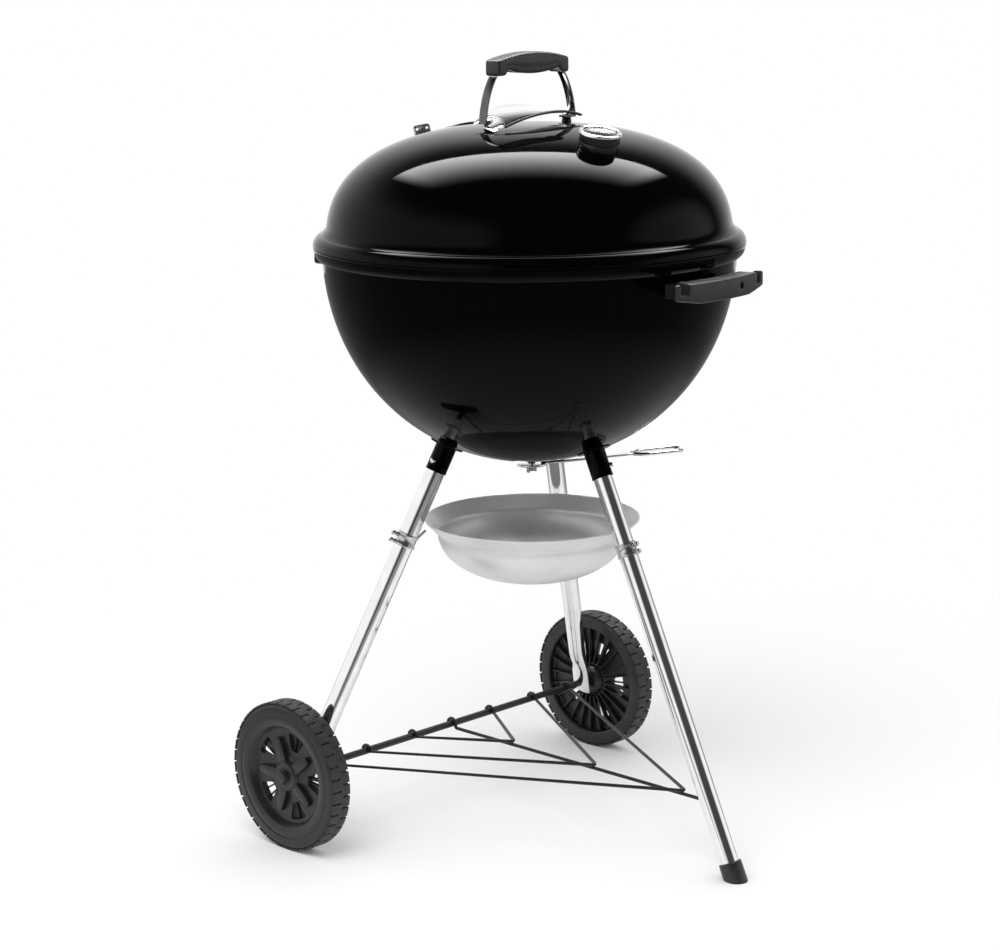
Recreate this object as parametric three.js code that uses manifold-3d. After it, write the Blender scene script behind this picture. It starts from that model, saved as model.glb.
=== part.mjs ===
// Kettle charcoal grill: an enamelled bowl and lid on three tube legs, two wheels and a wire rack.
// Millimetres, +Z up. The kettle's axis is x = y = 0 while the pieces are laid out, the capped leg
// points along -Y and the axle runs along X. The finished group is then moved so that its origin
// is the middle of its footprint, on the ground.
import * as THREE from "three";
import { mergeVertices } from "three/addons/utils/BufferGeometryUtils.js";
import Module from "manifold-3d";

const wasm = await Module();
wasm.setup();

// Driving dimensions.
const GAP = 0.35;
const SHELL_SEGMENTS = 32;
const LID_SWEEP = 84;
const LID_STEPS = 9;
const BOWL_SWEEP = 85;
const BOWL_STEPS = 10;
const SHEET = 2;
const LID = { radius: 269.3, height: 157.5, power: 2.5, base: 799.7 };
const BOWL = { radius: 274.5, height: 290, power: 2.05, base: 799.7 };
const RIM_RADIUS = 286.3;
const RIM_HEIGHT = 801;
const TUBE_RADIUS = 12.7;
const TUBE_WALL = 1.5;
const LEG_BREAK_HEIGHT = 500;
const WHEEL_RADIUS = 101.6;
const WHEEL_INNER_FACE = 288;
const WHEEL_WIDTH = 30;
const AXLE_RADIUS = 4.75;
const WHEEL_LEG = { root: 133, slope: 0.462 };
const FRONT_LEG = { root: 129, slope: 0.456 };
const WHEEL_LEG_BEARING = 30.7;
const AXLE_HEIGHT = WHEEL_RADIUS;
const AXLE_Y = legRadius(WHEEL_LEG, AXLE_HEIGHT) * sin(WHEEL_LEG_BEARING);
const LEGS = [
  { name: "left", bearing: 180 - WHEEL_LEG_BEARING, line: WHEEL_LEG, wheeled: true },
  { name: "right", bearing: WHEEL_LEG_BEARING, line: WHEEL_LEG, wheeled: true },
  { name: "front", bearing: -90, line: FRONT_LEG, wheeled: false },
];
const FITTING_RADIUS = 165; // of the vent and the thermometer, from the kettle's axis
const VENT_BEARING = 76;
const THERMOMETER_BEARING = VENT_BEARING - 180;
const BOWL_HANDLE_BEARING = -87;
const LEVER_BEARING = -22;
const COOKING_GRATE = { radius: 262, height: 775, pitch: 34, ring: 3, rod: 2 };
const CHARCOAL_GRATE = { radius: 212, height: 627, pitch: 40, ring: 3.5, rod: 2.6 };

const MATERIALS = {
  enamel: material(0x060606, 0.08, 0),
  nylon: material(0x1c1c1d, 0.55, 0),
  brightSteel: material(0xd4d5d6, 0.14, 1),
  steel: material(0xb5b7b8, 0.3, 1),
  aluminium: material(0xb9bbbc, 0.45, 1),
  blackWire: material(0x101010, 0.35, 0),
  wheelPlastic: material(0x141415, 0.5, 0),
  grateSteel: material(0x9fa1a2, 0.32, 1),
  dial: material(0xe9e9e6, 0.5, 0),
  pointer: material(0x9c1512, 0.5, 0),
  glass: material(0xf4f7f8, 0.03, 0),
};

const grill = new THREE.Group();

function material(color, roughness, metalness) {
  return new THREE.MeshStandardMaterial({ color, roughness, metalness });
}

function sin(degrees) {
  return Math.sin(THREE.MathUtils.degToRad(degrees));
}

function cos(degrees) {
  return Math.cos(THREE.MathUtils.degToRad(degrees));
}

function vec(x, y, z) {
  return new THREE.Vector3(x, y, z);
}

function bearingVec(bearing) {
  return vec(cos(bearing), sin(bearing), 0);
}

// ---- Solids ----

function makeSolid(vertices, triangles) {
  const mesh = new wasm.Mesh({
    numProp: 3,
    vertProperties: new Float32Array(vertices),
    triVerts: new Uint32Array(triangles),
  });
  return new wasm.Manifold(mesh);
}

// A closed three.js geometry as a solid. Slivers at a lathe's poles are dropped and a geometry
// that faces inwards is turned the right way out.
function solid(geometry) {
  const bare = geometry.clone();
  bare.deleteAttribute("normal");
  bare.deleteAttribute("uv");
  const merged = mergeVertices(bare, 1e-3);
  const index = merged.index.array;
  const triangles = [];
  for (let i = 0; i < index.length; i += 3) {
    const [a, b, c] = [index[i], index[i + 1], index[i + 2]];
    if (a !== b && b !== c && c !== a) triangles.push(a, b, c);
  }
  const made = makeSolid(merged.attributes.position.array, triangles);
  if (made.volume() > 0) return made;
  return makeSolid(merged.attributes.position.array, triangles.reverse());
}

function join(solids) {
  return solids.reduce((whole, piece) => whole.add(piece));
}

function cut(whole, cutters) {
  return cutters.reduce((left, cutter) => left.subtract(cutter), whole);
}

function addNode(name, made, slot) {
  const mesh = made.getMesh();
  const geometry = new THREE.BufferGeometry();
  geometry.setAttribute("position", new THREE.BufferAttribute(mesh.vertProperties, 3));
  geometry.setIndex(new THREE.BufferAttribute(mesh.triVerts, 1));
  geometry.computeVertexNormals();
  const node = new THREE.Mesh(geometry, MATERIALS[slot]);
  node.name = name;
  grill.add(node);
}

// A turned solid about the Z axis from [radius, height] points.
function turned(profile, segments) {
  const points = profile.map(([radius, height]) => new THREE.Vector2(radius, height));
  return new THREE.LatheGeometry(points, segments).rotateX(Math.PI / 2);
}

function closed(profile) {
  return [...profile, profile[0]];
}

// A frame whose Z axis is the given direction and whose X axis is as near as it can be to the hint.
function frame(origin, zAxis, xHint) {
  const z = zAxis.clone().normalize();
  const x = xHint.clone().addScaledVector(z, -xHint.dot(z)).normalize();
  const y = z.clone().cross(x);
  return new THREE.Matrix4().makeBasis(x, y, z).setPosition(origin);
}

function rod(from, to, radius, sides = 16) {
  const along = to.clone().sub(from);
  const hint = Math.abs(along.x) > Math.abs(along.z) ? vec(0, 0, 1) : vec(1, 0, 0);
  const geometry = new THREE.CylinderGeometry(radius, radius, along.length(), sides);
  geometry.rotateX(Math.PI / 2).translate(0, 0, along.length() / 2);
  return geometry.applyMatrix4(frame(from, along, hint));
}

function box(width, depth, height, centre) {
  return new THREE.BoxGeometry(width, depth, height).translate(centre.x, centre.y, centre.z);
}

// A round bar along a curve.
function sweep(curve, radius, sides, steps) {
  const section = new THREE.Shape();
  section.absarc(0, 0, radius, 0, Math.PI * 2);
  const options = { steps, curveSegments: sides / 2, bevelEnabled: false, extrudePath: curve };
  return new THREE.ExtrudeGeometry(section, options);
}

// A flat plate with its outline in its own X and Y, rising along Z.
function plate(outline, thickness, curveSegments = 12) {
  const options = { depth: thickness, curveSegments, bevelEnabled: false };
  return new THREE.ExtrudeGeometry(outline, options);
}

function polygon(points) {
  return new THREE.Shape(points.map(([x, y]) => new THREE.Vector2(x, y)));
}

// A plate whose outline lies in the XZ plane, centred on y = 0.
function uprightPlate(outline, thickness, curveSegments) {
  const geometry = plate(outline, thickness, curveSegments);
  return geometry.translate(0, 0, -thickness / 2).rotateX(Math.PI / 2);
}

// ---- Kettle shells ----

function domeHeight(shell, radius, inset = 0) {
  const share = radius / (shell.radius - inset);
  return (shell.height - inset) * (1 - share ** shell.power) ** (1 / shell.power);
}

// Points of a shell's curve from its pole to the given sweep, evenly spaced along the turn.
function domeCurve(shell, direction, inset, sweepDegrees, count) {
  const points = [];
  for (let i = 0; i <= count; i += 1) {
    const angle = (sweepDegrees * i) / count;
    const radius = (shell.radius - inset) * sin(angle) ** (2 / shell.power);
    const rise = (shell.height - inset) * cos(angle) ** (2 / shell.power);
    points.push([radius, shell.base + direction * rise]);
  }
  return points;
}

// The rounded lip between a shell's wall and its edge, as a quarter of an ellipse.
function lipCurve(wallRadius, reach, rise, startDegrees, count) {
  const points = [];
  for (let i = 0; i <= count; i += 1) {
    const angle = startDegrees + ((90 - startDegrees) * i) / count;
    points.push([wallRadius + reach * sin(angle), RIM_HEIGHT + rise * cos(angle)]);
  }
  return points;
}

function shellSolid(outer, inner) {
  return solid(turned([...outer, ...inner.reverse()], SHELL_SEGMENTS));
}

function lidShell() {
  const wall = 271.8;
  const edge = RIM_HEIGHT + GAP;
  const outer = domeCurve(LID, 1, 0, LID_SWEEP, LID_STEPS);
  outer.push(...lipCurve(wall, RIM_RADIUS - wall, 16, 12, 3).map(([r, z]) => [r, Math.max(z, edge)]));
  const inner = domeCurve(LID, 1, SHEET, LID_SWEEP, LID_STEPS);
  const reach = RIM_RADIUS - wall - SHEET;
  inner.push(...lipCurve(wall, reach, 16 - SHEET, 12, 2).map(([r, z]) => [r, Math.max(z, edge)]));
  return shellSolid(outer, inner);
}

function bowlShell() {
  const wall = 274.6;
  const outer = domeCurve(BOWL, -1, 0, BOWL_SWEEP, BOWL_STEPS);
  outer.push(...lipCurve(wall, RIM_RADIUS - wall - 0.4, -18, 0, 4));
  const inner = domeCurve(BOWL, -1, SHEET, BOWL_SWEEP, BOWL_STEPS);
  inner.push(...lipCurve(wall, RIM_RADIUS - wall - 0.4 - SHEET, -18 + SHEET, 0, 3));
  return shellSolid(outer, inner);
}

// Everything under a shell's curve at an inset from its outside face, with the shell's own facets.
// A negative inset trims what is fixed outside, and one past the sheet trims what is fixed inside.
function bowlFilling(inset) {
  const curve = domeCurve(BOWL, -1, inset, BOWL_SWEEP, BOWL_STEPS);
  const rim = [BOWL.radius - inset, BOWL.base];
  return solid(turned([...curve, rim, [0, BOWL.base]], SHELL_SEGMENTS));
}

function lidFilling(inset) {
  const curve = domeCurve(LID, 1, inset, LID_SWEEP, LID_STEPS);
  return solid(turned([...curve, [0, LID.base]], SHELL_SEGMENTS));
}

// How far the dome slopes outward where its fittings stand, in radians.
function domeLean() {
  const step = 0.5;
  const drop = domeHeight(LID, FITTING_RADIUS - step) - domeHeight(LID, FITTING_RADIUS + step);
  return Math.atan(drop / (2 * step));
}

// The frame of a fitting that stands on the lid and leans outward by an angle.
function lidFrame(bearing, lean) {
  const out = bearingVec(bearing);
  const foot = out.clone().multiplyScalar(FITTING_RADIUS);
  foot.z = LID.base + domeHeight(LID, FITTING_RADIUS);
  const axis = out.clone().multiplyScalar(Math.sin(lean)).add(vec(0, 0, Math.cos(lean)));
  return frame(foot, axis, out);
}

// ---- Lid ----

const VENT = { discRadius: 39, bossRadius: 43, bossTop: 1.2, holeRadius: 8, holeCircle: 22, holes: 4 };
const VENT_TAB_TURN = 57.6;

function ventHoles(phase) {
  const cutters = [];
  for (let i = 0; i < VENT.holes; i += 1) {
    const spoke = bearingVec(phase + (360 * i) / VENT.holes).multiplyScalar(VENT.holeCircle);
    const from = spoke.clone().setZ(-20);
    const to = spoke.clone().setZ(20);
    cutters.push(solid(rod(from, to, VENT.holeRadius, 12)));
  }
  return cutters;
}

function placed(made, matrix) {
  return made.transform(matrix.elements);
}

function addLid() {
  const ventFrame = lidFrame(VENT_BEARING, domeLean());
  const gaugeFrame = lidFrame(THERMOMETER_BEARING, GAUGE.lean);
  const boss = solid(rod(vec(0, 0, -9), vec(0, 0, VENT.bossTop), VENT.bossRadius, 28));
  const pad = placed(boss, ventFrame).subtract(lidFilling(SHEET));
  const stemHole = solid(rod(vec(0, 0, -12), vec(0, 0, 6), 5, 16));
  const rivetHole = solid(rod(vec(0, 0, -20), vec(0, 0, 20), 3.2, 10));
  const holes = [...ventHoles(45), rivetHole].map((hole) => placed(hole, ventFrame));
  const shell = cut(lidShell().add(pad), [...holes, placed(stemHole, gaugeFrame)]);
  addNode("lid_shell", shell, "enamel");
}

// A flat disc with holes that turns over the lid's own holes, with an upright finger tab past its rim.
function addVent() {
  const bottom = VENT.bossTop + GAP;
  const thickness = 1.6;
  const disc = solid(rod(vec(0, 0, bottom), vec(0, 0, bottom + thickness), VENT.discRadius, 28));
  const tabOutline = polygon([
    [32, bottom + 0.5], [64, bottom + 0.5], [67, 4.5], [67, 17.5], [64.5, 20],
    [46.5, 20], [44, 17.5], [44, 8], [40, 4.5], [32, 2.5],
  ]);
  const tabPlate = uprightPlate(tabOutline, 2);
  const eyes = [48.5, 62].map((x) => rod(vec(x, -3, 14.5), vec(x, 3, 14.5), 1.9, 8));
  const tab = cut(solid(tabPlate), eyes.map(solid));
  const turn = new THREE.Matrix4().makeRotationZ(THREE.MathUtils.degToRad(VENT_TAB_TURN));
  const rivetHole = solid(rod(vec(0, 0, -5), vec(0, 0, 20), 3.2, 10));
  const damper = cut(disc.add(placed(tab, turn)), [...ventHoles(45), rivetHole]);
  const rivetTop = bottom + thickness + GAP;
  const head = rod(vec(0, 0, rivetTop), vec(0, 0, rivetTop + 2), 6, 16);
  const shank = rod(vec(0, 0, -10), vec(0, 0, rivetTop + 1), 2.8, 10);
  const rivet = join([head, shank].map(solid));
  const place = lidFrame(VENT_BEARING, domeLean());
  addNode("lid_vent_damper", placed(damper, place), "steel");
  addNode("lid_vent_rivet", placed(rivet, place), "steel");
}

const GAUGE = { radius: 26, height: 21, bezel: 27, glass: 23.4, stem: 4.2, depth: 40, lean: 0.227 };

// A case that stands nearer to upright than the dome, so its foot is cut to the dome's slope.
function addThermometer() {
  const place = lidFrame(THERMOMETER_BEARING, GAUGE.lean);
  const foot = -7;
  const top = GAUGE.height;
  const floor = top - 6;
  const cup = closed([
    [GAUGE.radius, foot], [GAUGE.radius, top - 4], [GAUGE.radius - 2, top - 4],
    [GAUGE.radius - 2, floor], [GAUGE.stem, floor], [GAUGE.stem, foot],
  ]);
  const caseSolid = solid(turned(cup, 24));
  const stem = solid(rod(vec(0, 0, -GAUGE.depth), vec(0, 0, floor - 0.2), GAUGE.stem - GAP, 12));
  const bezel = solid(turned(closed([
    [GAUGE.bezel, top - 3.6], [GAUGE.bezel, top - 0.8], [GAUGE.bezel - 0.8, top],
    [GAUGE.glass - 1.4, top], [GAUGE.glass - 1.4, top - 0.9], [GAUGE.glass + 0.4, top - 0.9],
    [GAUGE.glass + 0.4, top - 3.6],
  ]), 24));
  const glass = solid(rod(vec(0, 0, top - 2.4), vec(0, 0, top - 1.3), GAUGE.glass, 24));
  const face = solid(rod(vec(0, 0, floor + GAP), vec(0, 0, floor + 1.2), GAUGE.glass, 24));
  const needle = solid(rod(vec(0, 0, floor + 1.6), vec(0, 0, floor + 2.6), 2.4, 14));
  const hand = solid(box(18, 1.6, 0.6, vec(6.5, 0, floor + 2)));
  const nut = solid(turned(closed([[5, -10.8], [11, -10.8], [11, -4.8], [5, -4.8]]), 6));
  addNode("thermometer_case", placed(caseSolid, place).subtract(lidFilling(-GAP)), "enamel");
  addNode("thermometer_stem", placed(stem, place), "steel");
  addNode("thermometer_bezel", placed(bezel, place), "brightSteel");
  addNode("thermometer_glass", placed(glass, place), "glass");
  addNode("thermometer_dial", placed(face, place), "dial");
  addNode("thermometer_pointer", placed(needle.add(hand), place), "pointer");
  addNode("thermometer_nut", placed(nut, place), "steel");
}

const HANDLE = { halfGrip: 67, width: 26, top: 1050, shoulder: 1041, under: 1021, footX: 86 };

function lidHandleGrip() {
  const outline = new THREE.Shape();
  outline.moveTo(-HANDLE.halfGrip, HANDLE.under);
  outline.lineTo(-HANDLE.halfGrip + 16, HANDLE.under);
  outline.quadraticCurveTo(0, HANDLE.under + 9, HANDLE.halfGrip - 16, HANDLE.under);
  outline.lineTo(HANDLE.halfGrip, HANDLE.under);
  outline.lineTo(HANDLE.halfGrip, HANDLE.shoulder);
  outline.quadraticCurveTo(0, 2 * HANDLE.top - HANDLE.shoulder, -HANDLE.halfGrip, HANDLE.shoulder);
  return solid(uprightPlate(outline, HANDLE.width, 10));
}

const STRAP = { thickness: 2.8, width: 13 };

// A bowed flat strap from under the grip to a foot that turns in over its bolt.
function lidHandleStrap(side, footHeight) {
  const thick = STRAP.thickness;
  const topX = HANDLE.halfGrip - 1.5;
  const topZ = HANDLE.under - GAP;
  const footX = HANDLE.footX;
  const outline = new THREE.Shape();
  outline.moveTo(side * topX, topZ);
  outline.quadraticCurveTo(side * (footX - 4), (topZ + footHeight) / 2 + 8, side * footX, footHeight);
  outline.lineTo(side * (footX - 20), footHeight);
  outline.lineTo(side * (footX - 20), footHeight + thick);
  outline.lineTo(side * (footX - thick), footHeight + thick);
  const midX = side * (footX - 4 - thick);
  outline.quadraticCurveTo(midX, (topZ + footHeight) / 2 + 8, side * (topX - thick), topZ);
  return solid(uprightPlate(outline, STRAP.width, 10));
}

const SHIELD = { left: -98, right: 82, leftHeight: 955.5, rightHeight: 965, rise: 15, thickness: 1.6 };
const SHIELD_LEAN = 0.09; // rise towards the vent side, per unit of width

// An arched, leaf-shaped plate under the handle, notched where the straps come down.
function heatShield() {
  const middleX = (SHIELD.left + SHIELD.right) / 2;
  const middle = (SHIELD.leftHeight + SHIELD.rightHeight) / 2 + 2 * SHIELD.rise;
  const arch = new THREE.Shape();
  arch.moveTo(SHIELD.left, SHIELD.leftHeight);
  arch.quadraticCurveTo(middleX, middle, SHIELD.right, SHIELD.rightHeight);
  arch.lineTo(SHIELD.right, SHIELD.rightHeight + SHIELD.thickness);
  arch.quadraticCurveTo(
    middleX, middle + SHIELD.thickness, SHIELD.left, SHIELD.leftHeight + SHIELD.thickness);
  const leaf = new THREE.Shape();
  leaf.moveTo(SHIELD.left, -34);
  leaf.quadraticCurveTo(middleX, -44, SHIELD.right, -22);
  leaf.lineTo(SHIELD.right, 24);
  leaf.quadraticCurveTo(middleX, 50, SHIELD.left + 10, 14);
  const lean = new THREE.Matrix4().set(1, 0, 0, 0, 0, 1, 0, 0, 0, SHIELD_LEAN, 1, 0, 0, 0, 0, 1);
  const sheet = solid(uprightPlate(arch, 110, 14));
  const outline = solid(plate(leaf, 80, 14).translate(0, 0, 930));
  const notches = [-1, 1].map((side) => solid(box(44, 18, 80, vec(side * 84, 0, 965))));
  return cut(placed(sheet.intersect(outline), lean), [...notches, lidFilling(-GAP)]);
}

const FOOT_BOLT = { x: 74, spacer: 6.5, shank: 3, head: 5.5 };

function addLidHandle() {
  const footHeight = LID.base + domeHeight(LID, FOOT_BOLT.x) + 6;
  const tabTop = footHeight + STRAP.thickness;
  addNode("lid_handle_grip", lidHandleGrip(), "nylon");
  addNode("lid_heat_shield", heatShield(), "brightSteel");
  for (const [name, side] of [["left", -1], ["right", 1]]) {
    const at = (z) => vec(side * FOOT_BOLT.x, 0, z);
    const hole = solid(rod(at(footHeight - 5), at(tabTop + 5), FOOT_BOLT.shank + GAP, 14));
    const spacer = solid(rod(at(footHeight - 14), at(footHeight - GAP), FOOT_BOLT.spacer, 16));
    const shank = solid(rod(at(footHeight - 2), at(tabTop + 2), FOOT_BOLT.shank, 14));
    const head = solid(rod(at(tabTop + GAP), at(tabTop + 3.4), FOOT_BOLT.head, 6));
    const bolt = join([spacer.subtract(lidFilling(-GAP)), shank, head]);
    addNode(`lid_handle_strap_${name}`, lidHandleStrap(side, footHeight).subtract(hole), "brightSteel");
    addNode(`lid_handle_bolt_${name}`, bolt, "steel");
  }
}

// The hook inside the lid that hangs it on the edge of the bowl.
function addLidHook() {
  const outline = polygon([
    [238, 846], [262, 846], [262, 868], [252, 868], [252, 849], [241, 849], [241, 862], [238, 862],
  ]);
  const turn = new THREE.Matrix4().makeRotationZ(THREE.MathUtils.degToRad(150));
  addNode("lid_hook", placed(solid(uprightPlate(outline, 24)), turn).intersect(lidFilling(SHEET + GAP)), "steel");
}

// ---- Bowl ----

const BOTTOM_SLOT = { inner: 36, outer: 84, width: 22 };
const SHAFT_HOLE_RADIUS = 7;

function addBowl() {
  const slots = LEGS.map(({ bearing }) => {
    const middle = bearingVec(bearing + 60).multiplyScalar((BOTTOM_SLOT.inner + BOTTOM_SLOT.outer) / 2);
    const bar = box(BOTTOM_SLOT.outer - BOTTOM_SLOT.inner, BOTTOM_SLOT.width, 80, vec(0, 0, 0));
    bar.rotateZ(THREE.MathUtils.degToRad(bearing + 60)).translate(middle.x, middle.y, 520);
    return solid(bar);
  });
  const shaftHole = solid(rod(vec(0, 0, 490), vec(0, 0, 530), SHAFT_HOLE_RADIUS, 20));
  addNode("bowl_shell", cut(bowlShell(), [...slots, shaftHole]), "enamel");
}

const BOWL_HANDLE = { inner: 299, outer: 326, bottom: 752, top: 778, halfAngle: 16.5, taperStart: 51, taper: 9 };

// A curved nylon bar on two stubs, tapered at its ends, with a slot near each end for hanging tools.
function bowlHandle(bearing) {
  const { inner, outer, bottom, top, halfAngle } = BOWL_HANDLE;
  const half = THREE.MathUtils.degToRad(halfAngle);
  const bar = new THREE.Shape();
  bar.absarc(0, 0, outer, -half, half, false);
  bar.absarc(0, 0, inner, half * 0.76, -half * 0.76, true);
  const height = top - bottom;
  const solids = [solid(plate(bar, height, 12).translate(0, 0, bottom))];
  for (const side of [-1, 1]) {
    const stub = box(40, 20, height - 8, vec(288, 0, bottom + height / 2 - 1));
    solids.push(solid(stub.rotateZ(THREE.MathUtils.degToRad(side * 10))));
  }
  const slots = [-1, 1].map((side) => {
    const slot = box(60, 14, 15, vec(inner + 25, 0, top - 7));
    return solid(slot.rotateZ(THREE.MathUtils.degToRad(side * (halfAngle - 2.9))));
  });
  const tapers = [-1, 1].map((side) => {
    const wedge = box(80, 60, 12, vec(0, side * 30, -6));
    wedge.rotateX(THREE.MathUtils.degToRad(side * BOWL_HANDLE.taper));
    return solid(wedge.translate(inner, side * BOWL_HANDLE.taperStart, bottom));
  });
  const eye = solid(rod(vec(outer - 9, 30, 766), vec(outer + 9, 30, 766), 4.4, 16));
  const turn = new THREE.Matrix4().makeRotationZ(THREE.MathUtils.degToRad(bearing));
  return placed(cut(join(solids), [...slots, ...tapers, eye]), turn).subtract(bowlFilling(-GAP));
}

function addBowlHandles() {
  addNode("bowl_handle_front", bowlHandle(BOWL_HANDLE_BEARING), "nylon");
  addNode("bowl_handle_back", bowlHandle(BOWL_HANDLE_BEARING + 180), "nylon");
}

// ---- Legs ----

function legRadius(line, height) {
  return line.root + (LEG_BREAK_HEIGHT - height) * line.slope;
}

function legPoint(leg, height) {
  return bearingVec(leg.bearing).multiplyScalar(legRadius(leg.line, height)).setZ(height);
}

const SOCKET = { radius: 14.6, bore: 13.05, top: 548, bottom: 500, flange: 23, flangeHeight: 536 };
const LEG_TOP = 525;
const LEG_TOE = 90;
const CAP_SEAT = 12;
const BUTTON = { height: 511.5, turn: 35, radius: 3.8, inner: 8, outer: 18.4 };

// A lengthwise tube wall between two heights on a leg's line.
function legTube(leg, topHeight, bottomHeight, outerRadius, innerRadius, sides = 14) {
  const top = legPoint(leg, topHeight);
  const bottom = legPoint(leg, bottomHeight);
  const wall = solid(rod(bottom, top, outerRadius, sides));
  const over = top.clone().sub(bottom).setLength(5);
  return wall.subtract(solid(rod(bottom.clone().sub(over), top.clone().add(over), innerRadius, sides)));
}

// The direction square to a leg's line that is nearest to the given bearing.
function squareOff(leg, bearing) {
  const along = legPoint(leg, 0).sub(legPoint(leg, 100)).normalize();
  const outward = bearingVec(bearing);
  return outward.addScaledVector(along, -outward.dot(along)).normalize();
}

function addSocketAndButton(leg) {
  const seat = legPoint(leg, BUTTON.height);
  const axis = squareOff(leg, leg.bearing + BUTTON.turn);
  const reach = (distance) => seat.clone().addScaledVector(axis, distance);
  const hole = solid(rod(seat, reach(25), BUTTON.radius + GAP, 10));
  const along = legPoint(leg, SOCKET.flangeHeight - 2.6);
  const flange = solid(rod(along, legPoint(leg, SOCKET.flangeHeight + 8), SOCKET.flange, 14));
  const bore = solid(rod(legPoint(leg, SOCKET.bottom - 5), legPoint(leg, SOCKET.top + 9), SOCKET.bore, 14));
  const sleeve = solid(rod(legPoint(leg, SOCKET.bottom), legPoint(leg, SOCKET.top), SOCKET.radius, 14));
  addNode(`socket_${leg.name}`, cut(sleeve.add(flange), [bore, hole, bowlFilling(-GAP)]), "enamel");
  const shank = solid(rod(reach(BUTTON.inner), reach(BUTTON.outer - 1.6), BUTTON.radius, 10));
  const crown = solid(rod(reach(BUTTON.inner), reach(BUTTON.outer), BUTTON.radius - 1.2, 10));
  addNode(`leg_button_${leg.name}`, shank.add(crown), "brightSteel");
  return hole;
}

// The wheeled legs' lower ends, pressed flat across the axle and rounded off below it.
function flattenEnd(geometry, leg) {
  const axle = legPoint(leg, AXLE_HEIGHT);
  const along = legPoint(leg, 0).sub(legPoint(leg, 100)).normalize();
  const across = vec(1, 0, 0).addScaledVector(along, -along.x).normalize();
  const wide = along.clone().cross(across);
  const position = geometry.attributes.position;
  for (let i = 0; i < position.count; i += 1) {
    const point = vec(0, 0, 0).fromBufferAttribute(position, i).sub(axle);
    const down = point.dot(along);
    const press = THREE.MathUtils.smoothstep(down, -62, -20);
    const flat = point.dot(across) * (1 - 0.62 * press);
    const broad = point.dot(wide) * (1 + 0.3 * press);
    point.copy(axle).addScaledVector(along, down);
    point.addScaledVector(across, flat).addScaledVector(wide, broad);
    position.setXYZ(i, point.x, point.y, point.z);
  }
  return geometry;
}

function wheelLegTube(leg) {
  const top = legPoint(leg, LEG_TOP);
  const bottom = legPoint(leg, LEG_TOE);
  const length = top.distanceTo(bottom);
  const heights = [0, 24, 40, 56, 76, length];
  const outer = heights.map((height) => [TUBE_RADIUS, height]);
  const inner = heights.map((height) => [TUBE_RADIUS - TUBE_WALL, height]).reverse();
  const tube = turned(closed([...outer, ...inner]), 14);
  tube.applyMatrix4(frame(bottom, top.clone().sub(bottom), vec(1, 0, 0)));
  const axleHole = solid(rod(axlePoint(-400), axlePoint(400), AXLE_RADIUS + GAP, 12));
  return solid(flattenEnd(tube, leg)).subtract(axleHole);
}

function addLegs() {
  for (const leg of LEGS) {
    const hole = addSocketAndButton(leg);
    const bar = leg.wheeled
      ? wheelLegTube(leg)
      : legTube(leg, LEG_TOP, CAP_SEAT, TUBE_RADIUS, TUBE_RADIUS - TUBE_WALL).subtract(rackHole());
    addNode(`leg_${leg.name}`, bar.subtract(hole), "brightSteel");
  }
}

function addFootCap() {
  const leg = LEGS[2];
  const boot = solid(rod(legPoint(leg, -30), legPoint(leg, 22), TUBE_RADIUS + 2.4, 20));
  const bore = solid(rod(legPoint(leg, CAP_SEAT - GAP), legPoint(leg, 30), TUBE_RADIUS + GAP, 14));
  const below = solid(box(120, 120, 100, legPoint(leg, 0).setZ(-50)));
  addNode("foot_cap", cut(boot, [bore, below]), "nylon");
}

// ---- Axle, wheels and wire rack ----

function axlePoint(x) {
  return vec(x, AXLE_Y, AXLE_HEIGHT);
}

const HUB = { bore: AXLE_RADIUS + GAP, boss: 17, innerFace: 286.5, outerFace: 315 };
const AXLE_END = 318.5;
const SPOKES = 5;

// A wheel's turned body as [radius, distance from the grill's middle] points.
function wheelProfile() {
  const inner = WHEEL_INNER_FACE;
  const outer = inner + WHEEL_WIDTH;
  const tyre = WHEEL_RADIUS;
  return closed([
    [HUB.bore, HUB.innerFace], [HUB.boss, HUB.innerFace], [HUB.boss + 4, 299], [78, 299],
    [82, inner], [tyre - 4, inner], [tyre, inner + 5], [tyre, outer - 5], [tyre - 4, outer],
    [70, outer], [65, outer - 9], [HUB.boss + 8, 305], [HUB.boss, HUB.outerFace],
    [HUB.bore, HUB.outerFace],
  ]);
}

function addWheels() {
  for (const [name, side] of [["left", -1], ["right", 1]]) {
    const matrix = new THREE.Matrix4().makeBasis(vec(0, 1, 0), vec(0, 0, side), vec(side, 0, 0));
    matrix.setPosition(axlePoint(0));
    const window = new THREE.Shape();
    const half = THREE.MathUtils.degToRad(19);
    window.absarc(0, 0, 62, -half, half, false);
    window.absarc(0, 0, 32, half * 0.8, -half * 0.8, true);
    const windows = [];
    for (let i = 0; i < SPOKES; i += 1) {
      const turn = THREE.MathUtils.degToRad(36 + (360 * i) / SPOKES);
      windows.push(solid(plate(window, 60, 3).rotateZ(turn).translate(0, 0, 280)));
    }
    const wheel = cut(solid(turned(wheelProfile(), 30)), windows);
    const capBody = solid(rod(vec(0, 0, HUB.outerFace + GAP), vec(0, 0, AXLE_END + 4), 8, 14));
    const seat = solid(rod(vec(0, 0, 300), vec(0, 0, AXLE_END + GAP), HUB.bore, 12));
    addNode(`wheel_${name}`, placed(wheel, matrix), "wheelPlastic");
    addNode(`axle_cap_${name}`, placed(capBody.subtract(seat), matrix), "nylon");
  }
  const axle = solid(rod(axlePoint(-AXLE_END), axlePoint(AXLE_END), AXLE_RADIUS, 16));
  addNode("axle", axle, "blackWire");
}

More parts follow.
